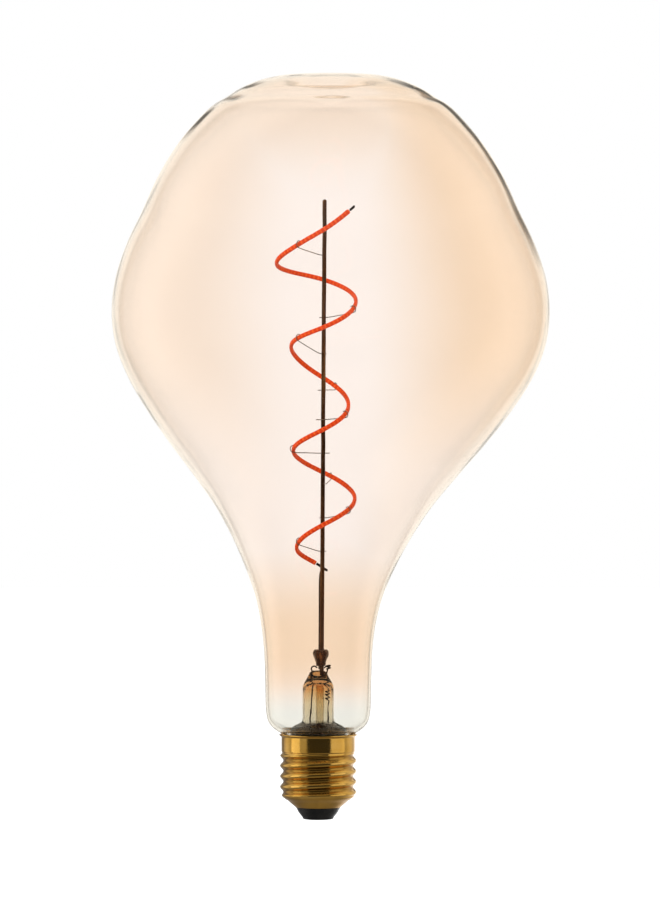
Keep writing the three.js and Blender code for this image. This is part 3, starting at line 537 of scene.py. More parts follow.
def bead_glass():
    """Dark brown glass of the bead, streaked where it was melted round the wires."""
    f = Finish("bead_glass")
    streak = f.grain(500.0, detail=3.0, stretch=(1, 1, 0.3), distortion=1.0)
    colour = f.ramp(
        streak, (0.34, (0.014, 0.005, 0.002)), (0.58, (0.05, 0.017, 0.005)), (0.75, (0.34, 0.13, 0.035))
    )
    return f.surface(
        Base_Color=colour, Roughness=f.spread(streak, 0.2, 0.8, 0.08, 0.22), IOR=1.52, Coat_Weight=0.5,
        Coat_Roughness=0.04, Normal=f.bump(streak, 0.0002),
    )


def post_metal():
    """The post: oxidised dark brown metal with drawn streaks and lighter rubbed places."""
    f = Finish("post_metal")
    streak = f.grain(900.0, detail=4.0, stretch=(1, 1, 0.03))
    patch = f.grain(140.0, detail=3.0, stretch=(1, 1, 0.4))
    tone = f.maths("ADD", f.maths("MULTIPLY", streak, 0.5), f.maths("MULTIPLY", patch, 0.5))
    colour = f.ramp(
        tone, (0.32, (0.035, 0.013, 0.004)), (0.52, (0.11, 0.045, 0.014)), (0.7, (0.3, 0.14, 0.05))
    )
    return f.surface(
        Base_Color=colour, Metallic=0.55, Roughness=f.spread(tone, 0.3, 0.7, 0.28, 0.5),
        Normal=f.bump(streak, 0.00005),
    )


def wire_metal(name, dark, light, roughness):
    """Drawn wire with fine lengthwise streaks and a little heat staining."""
    f = Finish(name)
    streak = f.grain(1500.0, detail=3.0)
    stain = f.grain(220.0, detail=3.0)
    tone = f.maths("ADD", f.maths("MULTIPLY", streak, 0.4), f.maths("MULTIPLY", stain, 0.6))
    return f.surface(
        Base_Color=f.ramp(tone, (0.32, dark), (0.68, light)), Metallic=0.85,
        Roughness=f.spread(tone, 0.3, 0.7, roughness - 0.1, roughness + 0.12),
        Normal=f.bump(streak, 0.00003),
    )


def filament_silicone():
    """Orange-red silicone over a row of small chips, which show as slightly lighter, raised beads."""
    strip = settings("filament")
    f = Finish("filament_silicone")
    along = f.value("along")
    phase = f.maths("MULTIPLY", along, TURN / CHIP_SPACING)
    chip = f.spread(f.maths("SINE", phase), -0.2, 0.9)
    cloud = f.grain(700.0, detail=3.0)
    tone = f.maths("ADD", f.maths("MULTIPLY", chip, 0.5), f.maths("MULTIPLY", cloud, 0.5))
    base = strip.colour
    deep, light = mixed(base, (0.45, 0.014, 0.002), 0.35), mixed(base, (1, 0.2, 0.04), 0.4)
    colour = f.ramp(tone, (0.2, deep), (0.55, base), (0.9, light))
    return f.surface(
        Base_Color=colour, Roughness=f.spread(cloud, 0.3, 0.7, 0.32, 0.48), IOR=1.41, Specular_IOR_Level=0.35,
        Subsurface_Weight=0.25, Subsurface_Radius=(0.0012, 0.0004, 0.0002), Subsurface_Scale=1.0,
        Emission_Color=colour, Emission_Strength=strip.glow,
        Normal=f.bump(cloud, 0.00006),
    )


def cap_brass():
    """Rolled brass with fine marks round it and random stains, with painted shade in the thread's grooves and
    painted highlights on its crests.
    """
    cap = settings("cap")
    f = Finish("cap_brass")
    painted_brass_shade = f.value("painted_brass_shade")
    rolled = f.grain(260.0, detail=5.0, roughness=0.65, stretch=(0.16, 0.16, 5.0))
    stain = f.grain(95.0, detail=4.0, roughness=0.6)
    scratch = f.grain(700.0, detail=2.0, stretch=(0.5, 0.5, 2.0), distortion=0.6)
    # The tone adds painted shade, deepest in the thread's grooves, to random stains and rolled marks. The
    # ramp's light end is a painted highlight on the crests and its dark end is painted shade.
    tone = f.maths("ADD", f.maths("MULTIPLY", painted_brass_shade, 0.42), f.maths("MULTIPLY", stain, 0.5))
    tone = f.maths("ADD", tone, f.maths("MULTIPLY", rolled, 0.12))
    brass = cap.brass
    colour = f.ramp(
        tone, (0.2, mixed(brass, (0.92, 0.62, 0.22), 0.4)), (0.42, brass),
        (0.8, mixed(brass, (0.14, 0.055, 0.01), 0.6)),
    )
    rough = f.maths("ADD", f.spread(stain, 0.3, 0.75, 0.1, 0.2), f.maths("MULTIPLY", painted_brass_shade, 0.06))
    return f.surface(
        Base_Color=colour, Metallic=1.0, Roughness=rough,
        Normal=f.bump(scratch, 0.00002, normal=f.bump(rolled, 0.00002)),
    )


def black_insulator():
    """Black pressed glass with a fired gloss, small pits and a dusty film."""
    f = Finish("insulator_glass")
    cloud = f.grain(260.0, detail=4.0)
    pits = f.add("TexVoronoi", Vector=f.place(), Scale=900.0)
    colour = f.ramp(cloud, (0.35, (0.002, 0.002, 0.002)), (0.75, (0.009, 0.008, 0.007)))
    return f.surface(
        Base_Color=colour, Roughness=f.spread(cloud, 0.3, 0.8, 0.07, 0.25), Specular_IOR_Level=0.22,
        Normal=f.bump(f.spread(pits, 0.0, 0.35), 0.00006, 0.6, f.bump(cloud, 0.0002)),
    )


def contact_metal():
    """Tinned contact with a solder-dulled face and turning marks."""
    f = Finish("contact_metal")
    xyz = f.split(f.place())
    rings = f.maths("SINE", f.maths("MULTIPLY", f.away(xyz[0], xyz[1]), 26000.0))  # 0.24 mm from mark to mark
    cloud = f.grain(420.0, detail=4.0)
    colour = f.ramp(cloud, (0.35, (0.36, 0.34, 0.31)), (0.7, (0.62, 0.6, 0.56)))
    return f.surface(
        Base_Color=colour, Metallic=1.0, Roughness=f.spread(cloud, 0.3, 0.7, 0.24, 0.45),
        Normal=f.bump(rings, 0.00001, 0.5, f.bump(cloud, 0.0001)),
    )


def dull_finish(name, dark, light, roughness, scale, metallic=0.0, relief=0.0001, stretch=(1, 1, 1)):
    """A mottled finish for cement, resin, plastic, ferrite and the like."""
    f = Finish(name)
    cloud = f.grain(scale, detail=5.0, stretch=stretch)
    specks = f.grain(scale * 5, detail=2.0, stretch=stretch)
    tone = f.maths("ADD", f.maths("MULTIPLY", cloud, 0.7), f.maths("MULTIPLY", specks, 0.3))
    return f.surface(
        Base_Color=f.ramp(tone, (0.35, dark), (0.65, light)), Metallic=metallic,
        Roughness=f.spread(tone, 0.3, 0.7, roughness - 0.1, roughness + 0.1),
        Normal=f.bump(tone, relief),
    )


# ---------- glass envelope ----------


def dent_depth(azimuth, radius, height, neck_top):
    """How far the soft dents push the glass in, with the slight unevenness of blown glass."""
    depth = 0.0
    for where, level, around, reach, deep in DENTS:
        turn = (azimuth - math.radians(where) + math.pi) % TURN - math.pi
        across = radius * turn / around
        along = (height - lerp(neck_top, BULB_TOP, level)) / reach
        depth += deep * math.exp(-across * across - along * along)
    return depth


def envelope_outline(glass):
    """The outer outline from the mouth to the middle of the dish, as (radius, height)."""
    neck, body = glass.neck_radius / MM, glass.body_radius / MM
    neck_top = RIM_Z + glass.neck_length / MM
    points = [(MOUTH_RADIUS, MOUTH_Z), (MOUTH_RADIUS + 0.05, RIM_Z - 1.2)]
    points += [(lerp(RIM_RADIUS - 1, neck, out), RIM_Z + rise) for out, rise in SHOULDER]
    points += [(lerp(neck, body, out), lerp(neck_top, BULB_TOP, up)) for out, up in BODY]
    points += [(radius, BULB_TOP - depth) for radius, depth in DISH]
    return [(p.x, p.y) for p in eased([(r, z, 0) for r, z in points], 6)]


def build_envelope():
    glass = settings("glass")
    wall = glass.wall / MM
    neck_top = RIM_Z + glass.neck_length / MM
    body_height = BULB_TOP - neck_top
    outer = envelope_outline(glass)
    inner = []
    for i, (radius, height) in enumerate(outer):
        before, after = outer[max(i - 1, 0)], outer[min(i + 1, len(outer) - 1)]
        along = Vector((after[0] - before[0], after[1] - before[1])).normalized()
        if i == 0:
            inner.append((radius - wall, height))
        elif radius < 1e-6:
            inner.append((0, height - wall))
        else:
            inner.append((max(radius - wall * along.y, 0.02), height + wall * along.x))
    steps = 168

    def ring(radius, height):
        centre = glass.lean / MM * smooth(0.062, 0.54, (height - neck_top) / body_height)
        if radius < 1e-4:
            return [Vector((centre, 0, height))]
        points = []
        for i in range(steps):
            azimuth = TURN * i / steps
            r = radius - dent_depth(azimuth, radius, height, neck_top)
            points.append(Vector((centre + r * math.cos(azimuth), r * math.sin(azimuth), height)))
        return points

    rings = [ring(*p) for p in outer] + [ring(*p) for p in reversed(inner)]
    piece = skin("amber_envelope", rings, amber_glass(), closed=True, sharp=70)
    lets_lamps_through(piece)
    return stand_for(piece, "amber_glass", "glass_envelope")


# ---------- stem ----------


def build_stem():
    stem = settings("stem")
    radius, wall = stem.stem_radius / MM, stem.stem_wall / MM
    bore = radius - wall
    cavity_top = PRESS_FROM + 1.9
    mouth = box_mm("stem_flare")[1].x

    def size(height):
        share = smooth(PRESS_FROM, PRESS_TOP, height)
        edge = min(max((height - PRESS_TOP + 1) / 1.2, 0), 1)
        rounding = math.sqrt(1 - edge * edge)
        return (
            lerp(radius, stem.press_width / MM / 2, share) * rounding,
            lerp(radius, stem.press_depth / MM / 2, math.sqrt(share)) * rounding,
        )

    steps = 72
    horn = [(1, 0), (1, 3.4), (0.93, 4.6), (0.7, 5.6), (0.36, 6.4), (0.1, 7.4), (0, 9)]
    horn = [(lerp(radius, mouth, out), FLARE_Z + rise, 0) for out, rise in horn]
    horn = [(p.x, p.y) for p in eased(horn, 6)]
    outside = [circle(r, z, steps) for r, z in horn]
    for k in range(25):
        z = lerp(PRESS_FROM, PRESS_TOP, smooth(0, 1, k / 24))
        half_x, half_y = size(z)
        outside.append([
            Vector((half_x * math.cos(TURN * i / steps), half_y * math.sin(TURN * i / steps), z))
            for i in range(steps)
        ])
    outside.append([Vector((0, 0, PRESS_TOP))])
    dome = [(0, cavity_top), (0.3, cavity_top - 0.08), (0.56, cavity_top - 0.35), (0.78, cavity_top - 0.95)]
    inside = [circle(share * bore, z, steps) for share, z in dome]
    inside += [circle(0.9 * bore, PRESS_FROM, steps), circle(0.97 * bore, PRESS_FROM - 1, steps)]
    inside += [circle(bore, PRESS_FROM - 2, steps)]
    inside += [circle(r - wall, z, steps) for r, z in reversed(horn)]
    flare = skin("stem_glass", outside + inside, stem_glass(), closed=True, sharp=50)
    lets_lamps_through(flare)
    stand_for(flare, "clear_glass", "stem_flare")

    low, high = box_mm("exhaust_tube")
    middle, tube = (low.x + high.x) / 2, (high.x - low.x) / 2
    tube_wall = 0.3 * tube
    bore = tube - tube_wall
    outline = [
        (0, low.z), (0.2 * tube, low.z + 0.05), (0.47 * tube, low.z + 0.3), (0.7 * tube, low.z + 0.8),
        (0.86 * tube, low.z + 1.5), (0.96 * tube, low.z + 2.1), (tube, low.z + 2.8), (tube, low.z + 3.2),
        (tube, high.z - 0.3), (tube, high.z - 0.1), (tube - 0.1, high.z), (bore + 0.1, high.z),
        (bore, high.z - 0.1), (bore, high.z - 0.3), (bore, low.z + 3.4), (bore, low.z + 3),
        (0.5 * tube, low.z + 2), (0.27 * tube, low.z + 1.6), (0, low.z + 1.4),
    ]
    glass = turned("exhaust_glass", outline, flare.data.materials[0], 48, sharp=30, x=middle)
    lets_lamps_through(glass)
    stand_for(glass, "clear_glass", "exhaust_tube")


def build_bead():
    low, high = box_mm("stem_bead")
    across, along = (low.x + high.x) / 2, (low.y + high.y) / 2
    bore = (high.x - low.x) / 2 - BEAD_BULGE
    outline = [
        (0, 1.7), (0.12, 1.55), (0.3, 1.65), (0.38, 2.1), (0.45, 2.8), (0.7, 3.5), (1, 4.2), (1.28, 4.9),
        (1.45, 5.6), (1.47, 6.1), (1.36, 6.6), (1.12, 7.0), (0.8, 7.25), (0.35, 7.3), (0, 7.2),
    ]
    rings = []
    for out, rise in outline:
        ring = circle(bore + out, PRESS_TOP + rise, 56, across, along)
        for point in ring:
            push = 1 + 0.09 * noise.noise(point * 0.9) * min(out, 1)
            point.x = across + (point.x - across) * push
            point.y = along + (point.y - along) * push
        rings.append(ring)
    piece = skin("melted_bead", rings, bead_glass(), closed=True, sharp=80)
    stand_for(piece, "brown_glass", "stem_bead")


def post_x(height):
    low, high = box_mm("support_post")
    radius = settings("stem").post_radius / MM
    return lerp(low.x + radius, high.x - radius, (height - POST_FOOT) / (POST_HEAD - POST_FOOT))


def build_post():
    stem = settings("stem")
    radius = stem.post_radius / MM
    points = [Vector((post_x(z), 0, z)) for z in (lerp(POST_FOOT, POST_HEAD, k / 60) for k in range(61))]
    for k, point in enumerate(points[1:-1]):
        point.x += 0.12 * noise.noise(Vector((0, 0, k * 0.17)))
        point.y += 0.12 * noise.noise(Vector((5, 0, k * 0.17)))
    stand_for(drawn("oxidised_post", points, radius, post_metal(), sides=20), "post_metal", "support_post")


# ---------- filament ----------


def blended(rows, place, column):
    i = min(max(math.floor(place), 0), len(rows) - 2)
    t = place - i
    a, b, c, d = (rows[min(max(k, 0), len(rows) - 1)][column] for k in range(i - 1, i + 3))
    return 0.5 * (2 * b + (c - a) * t + (2 * a - 5 * b + 4 * c - d) * t * t + (3 * b - a - 3 * c + d) * t**3)


def filament_at(quarters):
    """The point of the filament's centre line at a number of quarter turns, and the way out from the post."""
    strip = settings("filament")
    height = FILAMENT_LOW + strip.height / MM * blended(FILAMENT_ROWS, quarters, 0)
    radius = strip.swing / MM * blended(FILAMENT_ROWS, quarters, 1)
    azimuth = -quarters * TURN / 4
    outward = Vector((math.cos(azimuth), math.sin(azimuth), 0))
    return outward * radius + Vector((post_x(height), 0, height)), outward


def strip_rings(start, end, width, thickness, sides, steps, ends):
    """Rings of a strip that stays upright along the filament's line. ends rounds them off by that length."""
    rings, lengths, run, last = [], [], 0.0, None
    for k in range(steps + 1):
        quarters = lerp(start, end, k / steps)
        at = filament_at(quarters)[0]
        ahead = (filament_at(quarters + 0.01)[0] - filament_at(quarters - 0.01)[0]).normalized()
        across = ahead.cross(UP).normalized()
        up = across.cross(ahead)
        run += (at - last).length if last else 0
        last = at
        scales = [(1, 0)]
        if k == 0:
            scales = [(0.45, 0), (0.8, 0.25 * ends), (0.96, 0.65 * ends), (1, ends)]
        if k == steps:
            scales = [(1, -ends), (0.96, -0.65 * ends), (0.8, -0.25 * ends), (0.45, 0)]
        for scale, shift in scales:
            ring = []
            for i in range(sides):
                angle = TURN * (i + 0.5) / sides
                cos, sin = math.cos(angle), math.sin(angle)
                ring.append(
                    at + ahead * shift
                    + across * (scale * thickness / 2 * math.copysign(abs(cos) ** 0.8, cos))
                    + up * (scale * width / 2 * math.copysign(abs(sin) ** 0.8, sin))
                )
            rings.append(ring)
            lengths.append(run)
    rings = [[filament_at(start)[0]], *rings, [filament_at(end)[0]]]
    return rings, [lengths[0], *lengths, lengths[-1]]


def build_filament():
    strip = settings("filament")
    width, thickness = strip.width / MM, strip.thickness / MM
    rings, lengths = strip_rings(FILAMENT_FROM, FILAMENT_TO, width, thickness, 18, 900, ends=0.35)
    piece = skin("silicone_filament", rings, filament_silicone(), values={"along": lengths}, sharp=80)
    stand_for(piece, "filament_silicone", "filament_strip")
    metal = wire_metal("tab_metal", (0.02, 0.016, 0.013), (0.12, 0.1, 0.085), 0.4)
    for name, start, end, node in (
        ("top_end_tab", TOP_TAB_FROM, FILAMENT_FROM - TAB_GAP, "filament_tab_top"),
        ("bottom_end_tab", FILAMENT_TO + TAB_GAP, BOTTOM_TAB_TO, "filament_tab_bottom"),
    ):
        rings, _ = strip_rings(start, end, TAB_WIDTH, TAB_THICKNESS, 12, 24, ends=0.12)
        stand_for(skin(name, rings, metal, sharp=50), "wire_metal", node)


def hook_line(quarters, drop, side):
    """A hook's line: from behind the post, out below the filament, then up and back round it."""
    strip, stem = settings("filament"), settings("stem")
    at, outward = filament_at(quarters)
    wire = strip.hook_radius / MM
    eye = strip.width / MM / 2 + wire + 0.25
    beside = UP.cross(outward) * side
    post_height = at.z - eye - drop
    beside_post = Vector((post_x(post_height), 0, post_height))
    beside_post += beside * (stem.post_radius / MM + wire + CLEARANCE)
    below = at - UP * eye
    points = [beside_post - outward * 2.3, beside_post + outward * 0.5]
    points.append(beside_post.lerp(below, 0.55) - UP * 0.06 * drop)
    for angle in (90, 140, 190, 235, 275, 315):
        a = math.radians(angle)
        points.append(at - outward * eye * math.cos(a) - UP * eye * math.sin(a))
    return eased(points, 8)


def build_hooks():
    metal = wire_metal("hook_wire", (0.2, 0.125, 0.08), (0.52, 0.4, 0.3), 0.32)
    radius = settings("filament").hook_radius / MM
    for i, (quarters, drop) in enumerate(zip(HOOK_PLACES, HOOK_DROPS)):
        line = hook_line(quarters, drop, 1 if i % 2 else -1)
        piece = drawn(f"holding_hook_{i + 1}", line, radius, metal, sides=12)
        stand_for(piece, "hook_wire", f"filament_hook_{i + 1}")


# ---------- wires ----------


def coil(x, radius, bottom, top, turns):
    steps = turns * 6
    return [
        (x + radius * math.cos(TURN * k / 6), radius * math.sin(TURN * k / 6), lerp(bottom, top, k / steps))
        for k in range(steps + 1)
    ]


def build_wires():
    stem = settings("stem")
    post, lead = stem.post_radius / MM, stem.lead_radius / MM
    post_foot_x = post_x(POST_FOOT)
    press_width = stem.press_width / MM
    dark = wire_metal("lead_wire", (0.018, 0.011, 0.007), (0.12, 0.07, 0.045), 0.38)
    pale = wire_metal("return_wire", (0.07, 0.045, 0.03), (0.26, 0.18, 0.13), 0.35)

    standoff = post + RETURN_RADIUS + CLEARANCE
    return_x = post_foot_x + standoff * math.cos(RETURN_AZIMUTH)
    return_y = standoff * math.sin(RETURN_AZIMUTH)
    tab = filament_at(15)[0]
    touch = TAB_THICKNESS / 2 + RETURN_RADIUS + 0.2
    route = []
    for share in (0, 0.33, 0.66, 1):
        z = lerp(PRESS_TOP + 0.3, tab.z - 4.5, share)
        route.append((post_x(z) - post_foot_x + return_x, return_y, z))
    route += [(tab.x - 0.7, (return_y + tab.y - touch) / 2, tab.z - 2), (tab.x, tab.y - touch, tab.z + 0.5)]
    stand_for(drawn("bright_return_wire", eased(route, 12), RETURN_RADIUS, pale), "wire_metal", "return_wire")

    tab_side = filament_at(LINK_FROM)[0].y + TAB_THICKNESS / 2 + LINK_RADIUS + 0.3
    post_side = -(post + LINK_RADIUS + CLEARANCE)
    route = []
    for k in range(6):
        strand = filament_at(lerp(LINK_FROM, 1, k / 5))[0]
        route.append((strand.x, lerp(tab_side, post_side, math.sqrt(k / 5)), strand.z))
    link = drawn("thin_link_wire", eased(route, 12), LINK_RADIUS, pale, sides=10)
    stand_for(link, "wire_metal", "top_link_wire")

    foot = box_mm("lead_wire_left")[0].z
    y = box_mm("driver_board")[0].y + 0.7
    left = 0.8 - press_width / 2
    join = PRESS_TOP + 0.9
    route = [
        (left - 1.3, y, foot), (left - 1, y, FLARE_Z), (left - 0.7, y / 2, FLARE_Z + 8),
        (left, 0, PRESS_TOP - 7.4), (left, 0, PRESS_TOP - 4.4), (left, 0, PRESS_TOP - 0.4),
        (left - 0.25, -0.1, join - 0.1), (left + 0.7, 0.1, join + 0.6),
        (return_x - RETURN_RADIUS - lead - CLEARANCE, return_y, join),
    ]
    stand_for(drawn("left_lead", eased(route, 10), lead, dark), "wire_metal", "lead_wire_left")

    tube_side = box_mm("exhaust_tube")[1].x
    bore = (stem.stem_radius - stem.stem_wall) / MM
    tail_x = (tube_side + bore) / 2 - 0.15
    tail_radius = (bore - tube_side) / 2 - lead - 0.4
    right = press_width / 2 + 0.05
    bead_low, bead_high = box_mm("stem_bead")
    knot_x = post_foot_x + (bead_high.x - bead_low.x) / 2 - BEAD_BULGE + 1.05
    reach = post + lead + CLEARANCE
    route = [
        (tail_x + 0.3, y, foot), (tail_x + 0.3, y, FLARE_Z), (tail_x + 0.3, y / 3, FLARE_Z + 8),
        (tail_x + 0.3, 0, PRESS_FROM - 6.3),
        *coil(tail_x, tail_radius, PRESS_FROM - 4.7, PRESS_FROM - 0.9, 3),
        (right, 0, PRESS_FROM + 0.9), (right, 0, PRESS_TOP - 0.8),
        *coil(knot_x, 0.6, PRESS_TOP + 0.1, PRESS_TOP + 1.7, 2)[2:],
        (post_foot_x + 1.7, -1, PRESS_TOP + 1.6),
        (post_foot_x + 0.8 * reach, -0.6 * reach, PRESS_TOP + 0.8),
    ]
    stand_for(drawn("right_lead", eased(route, 8), lead, dark), "wire_metal", "lead_wire_right")


# ---------- cap ----------


def build_cap():
    cap = settings("cap")
    major, depth = cap.thread_radius / MM, cap.thread_depth / MM
    bottom = cap.thread_bottom / MM
    top = bottom + cap.thread_length / MM
    pitch = INCH / cap.turns_per_inch
    steps = cap.steps_around
    band = major - 0.5

    def fade(z):
        return smooth(bottom, bottom + 1, z) * (1 - smooth(top - 1.2, top, z))

    def thread(z, azimuth):
        phase = TURN * z / pitch - azimuth + THREAD_START
        return major - depth / 2 - 0.2 * (1 - fade(z)) + fade(z) * depth * math.cos(phase) / 2

    rows = [
        (7.7, CONE_FOOT_Z), (8.3, CONE_FOOT_Z + 0.52), (9.6, CONE_FOOT_Z + 1.65),
        (major - 2.55, bottom - 1.2), (major - 1.9, bottom - 0.9), (major - 1.45, bottom - 0.5),
        (major - 1.0, bottom - 0.2),
    ]
    # Each vertex gets an amount of painted shade for the brass: about half on the cone below the thread,
    # rising into the thread's grooves, little on the collar and most on the lining inside.
    rings, painted_brass_shades = [], []

    def ring(radius_at, z, painted_brass_shade_at):
        points = []
        for i in range(steps):
            azimuth = TURN * i / steps
            r = radius_at(azimuth)
            points.append(Vector((r * math.cos(azimuth), r * math.sin(azimuth), z)))
            painted_brass_shades.append(painted_brass_shade_at(azimuth))
        rings.append(points)

    for r, z in rows:
        ring(lambda a, r=r: r, z, lambda a: 0.55)
    for k in range(1, THREAD_ROWS + 1):
        z = lerp(bottom, top, k / THREAD_ROWS)
        ring(
            lambda a, z=z: thread(z, a), z,
            lambda a, z=z: fade(z) * (0.5 - 0.5 * math.cos(TURN * z / pitch - a + THREAD_START)),
        )
    collar = [
        (band - 0.06, top + 0.2), (band, top + 0.5), (band, top + 1.5), (band, top + 3), (band, RIM_Z - 1.1),
        (band + 0.06, RIM_Z - 0.85), (band + 0.3, RIM_Z - 0.6), (RIM_RADIUS - 0.1, RIM_Z - 0.42),
        (RIM_RADIUS, RIM_Z - 0.28), (RIM_RADIUS, RIM_Z - 0.1), (RIM_RADIUS - 0.08, RIM_Z),
        (RIM_RADIUS - SHELL_WALL, RIM_Z),
    ]
    for r, z in collar:
        ring(lambda a, r=r: r, z, lambda a: 0.15)
    lining = band - SHELL_WALL
    for r, z in [(RIM_RADIUS - SHELL_WALL - 0.05, RIM_Z - 0.4), (lining, RIM_Z - 0.8), (lining, top + 0.5)]:
        ring(lambda a, r=r: r, z, lambda a: 0.6)
    for k in range(LINING_ROWS, -1, -1):
        z = lerp(bottom, top, k / LINING_ROWS)
        ring(lambda a, z=z: thread(z, a) - SHELL_WALL, z, lambda a: 0.6)
    for r, z in reversed(rows[:-1]):
        ring(lambda a, r=r: r - SHELL_WALL, z + SHELL_WALL / 2, lambda a: 0.6)
    vertices, faces = join_rings(rings, True)
    piece = make_piece("brass_screw_cap", vertices, faces, cap_brass(), 50, {"painted_brass_shade": painted_brass_shades})
    stand_for(piece, "cap_brass", "cap_shell")


def build_insulator():
    major = settings("cap").thread_radius / MM
    bottom = settings("cap").thread_bottom / MM
    low, high = box_mm("cap_insulator")
    contact = box_mm("centre_contact")
    face, rivet, seat = contact[1].x, 1.1, 0.9
    hole = rivet + CLEARANCE
    outline = [
        (hole, seat), (face + CLEARANCE, seat), (face + CLEARANCE, low.z + 0.1), (face + 0.2, low.z),
        (face + 0.6, low.z), (face + 0.85, low.z + 0.12), (face + 1, low.z + 0.35),
        (face + 1.15, low.z + 0.7), (face + 1.5, low.z + 1.15), (face + 2.4, low.z + 2.3),
        (7.45, CONE_FOOT_Z - 0.35), (7.62, CONE_FOOT_Z - 0.16), (7.6, CONE_FOOT_Z - 0.08),
        (7.05, CONE_FOOT_Z + 0.18), (major - 3.2, bottom - 1.03), (major - 2.1, bottom - 0.33),
        (major - 2.1, high.z), (hole, high.z),
    ]
    piece = turned("black_insulator", outline, black_insulator(), 120, sharp=38, closed=True)
    stand_for(piece, "insulator_glass", "cap_insulator")
    outline = [
        (0, 0.12), (0.9, 0.1), (1.35, 0.02), (1.7, 0), (face - 0.6, 0), (face - 0.25, 0.06),
        (face - 0.05, 0.2), (face, 0.4), (face, 0.8), (rivet, 0.8), (rivet, contact[1].z - 0.2),
        (rivet - 0.2, contact[1].z), (0, contact[1].z),
    ]
    piece = turned("riveted_contact", outline, contact_metal(), 96, sharp=35)
    stand_for(piece, "contact_metal", "centre_contact")


def build_cement():
    low, high = box_mm("base_cement")
    outer, inner = high.x, MOUTH_RADIUS + 0.15
    rings = []
    steps = 120
    outline = [
        (inner, low.z), (outer, low.z), (outer, high.z - 0.3), (outer - 0.25, high.z),
        (inner + 0.3, high.z - 0.15), (inner + 0.05, high.z - 0.4),
    ]
    for r, z in outline:
        ring = circle(r, z, steps)
        if z > high.z - 0.5:
            for point in ring:
                point.z += 0.18 * noise.noise(point * 0.55) - 0.05
        rings.append(ring)
    cement = dull_finish("cap_cement", (0.16, 0.12, 0.08), (0.42, 0.34, 0.25), 0.85, 500, relief=0.0004)
    stand_for(skin("cement_ring", rings, cement, closed=True, sharp=50), "cement", "base_cement")


# ---------- driver ----------


def finish_driver():
    """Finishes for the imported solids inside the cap."""
    board = dull_finish("board_resin", (0.006, 0.035, 0.014), (0.02, 0.08, 0.035), 0.4, 900)
    chip = dull_finish("chip_plastic", (0.006, 0.006, 0.007), (0.02, 0.02, 0.022), 0.55, 1500)
    sleeve = dull_finish("capacitor_sleeve", (0.008, 0.01, 0.016), (0.02, 0.025, 0.035), 0.35, 300)
    ferrite = dull_finish("ferrite", (0.02, 0.02, 0.021), (0.06, 0.06, 0.063), 0.65, 1200)
    copper = dull_finish(
        "copper_winding", (0.3, 0.09, 0.035), (0.7, 0.27, 0.13), 0.3, 350, 1.0, stretch=(1, 1, 8)
    )
    tin = dull_finish("tinned_metal", (0.4, 0.41, 0.42), (0.66, 0.67, 0.68), 0.35, 350, 1.0)
    lacquer = dull_finish("resistor_lacquer", (0.09, 0.16, 0.12), (0.18, 0.28, 0.22), 0.45, 800)
    sleeving = dull_finish("wire_sleeving", (0.5, 0.46, 0.38), (0.72, 0.67, 0.58), 0.6, 900)
    for node, finish in {
        "driver_board": board, "radio_board": board, "bridge_rectifier": chip, "driver_chip": chip,
        "radio_header": chip, "bulk_capacitor": sleeve, "choke_core": ferrite, "choke_winding": copper,
        "radio_shield": tin, "fuse_resistor": lacquer, "contact_wire": sleeving, "shell_wire": sleeving,
    }.items():
        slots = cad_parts[node].data.materials
        slots.clear()
        slots.append(finish)


# ---------- stage ----------


def cap_softbox(name, middle, reach, brightness, lit):
    """A softbox that only the cap mirrors. middle and reach are its azimuth and half width in degrees."""
    distance, height = 1.2, 2.0
    angle = math.radians(middle)
    width = 2 * distance * math.tan(math.radians(reach))
    place = (distance * math.sin(angle), -distance * math.cos(angle), 0.12)
    power = brightness * math.pi * width * height
    holder = soft_lamp(name, place, (0, 0, 0.02), width, height, power, (1, 1, 1))
    holder.visible_glossy = True
    holder.light_linking.receiver_collection = lit


def soft_lamp(name, place, aim, width, height, power, colour):
    lamp = bpy.data.lights.new(name, "AREA")
    lamp.shape = "RECTANGLE"
    lamp.size, lamp.size_y = width, height
    lamp.energy, lamp.color = power, colour
    holder = bpy.data.objects.new(name, lamp)
    holder.location = place
    holder.rotation_euler = (Vector(aim) - Vector(place)).to_track_quat("-Z", "Y").to_euler()
    for sight in ("visible_camera", "visible_glossy", "visible_transmission"):
        setattr(holder, sight, False)
    bpy.context.scene.collection.objects.link(holder)
    return holder


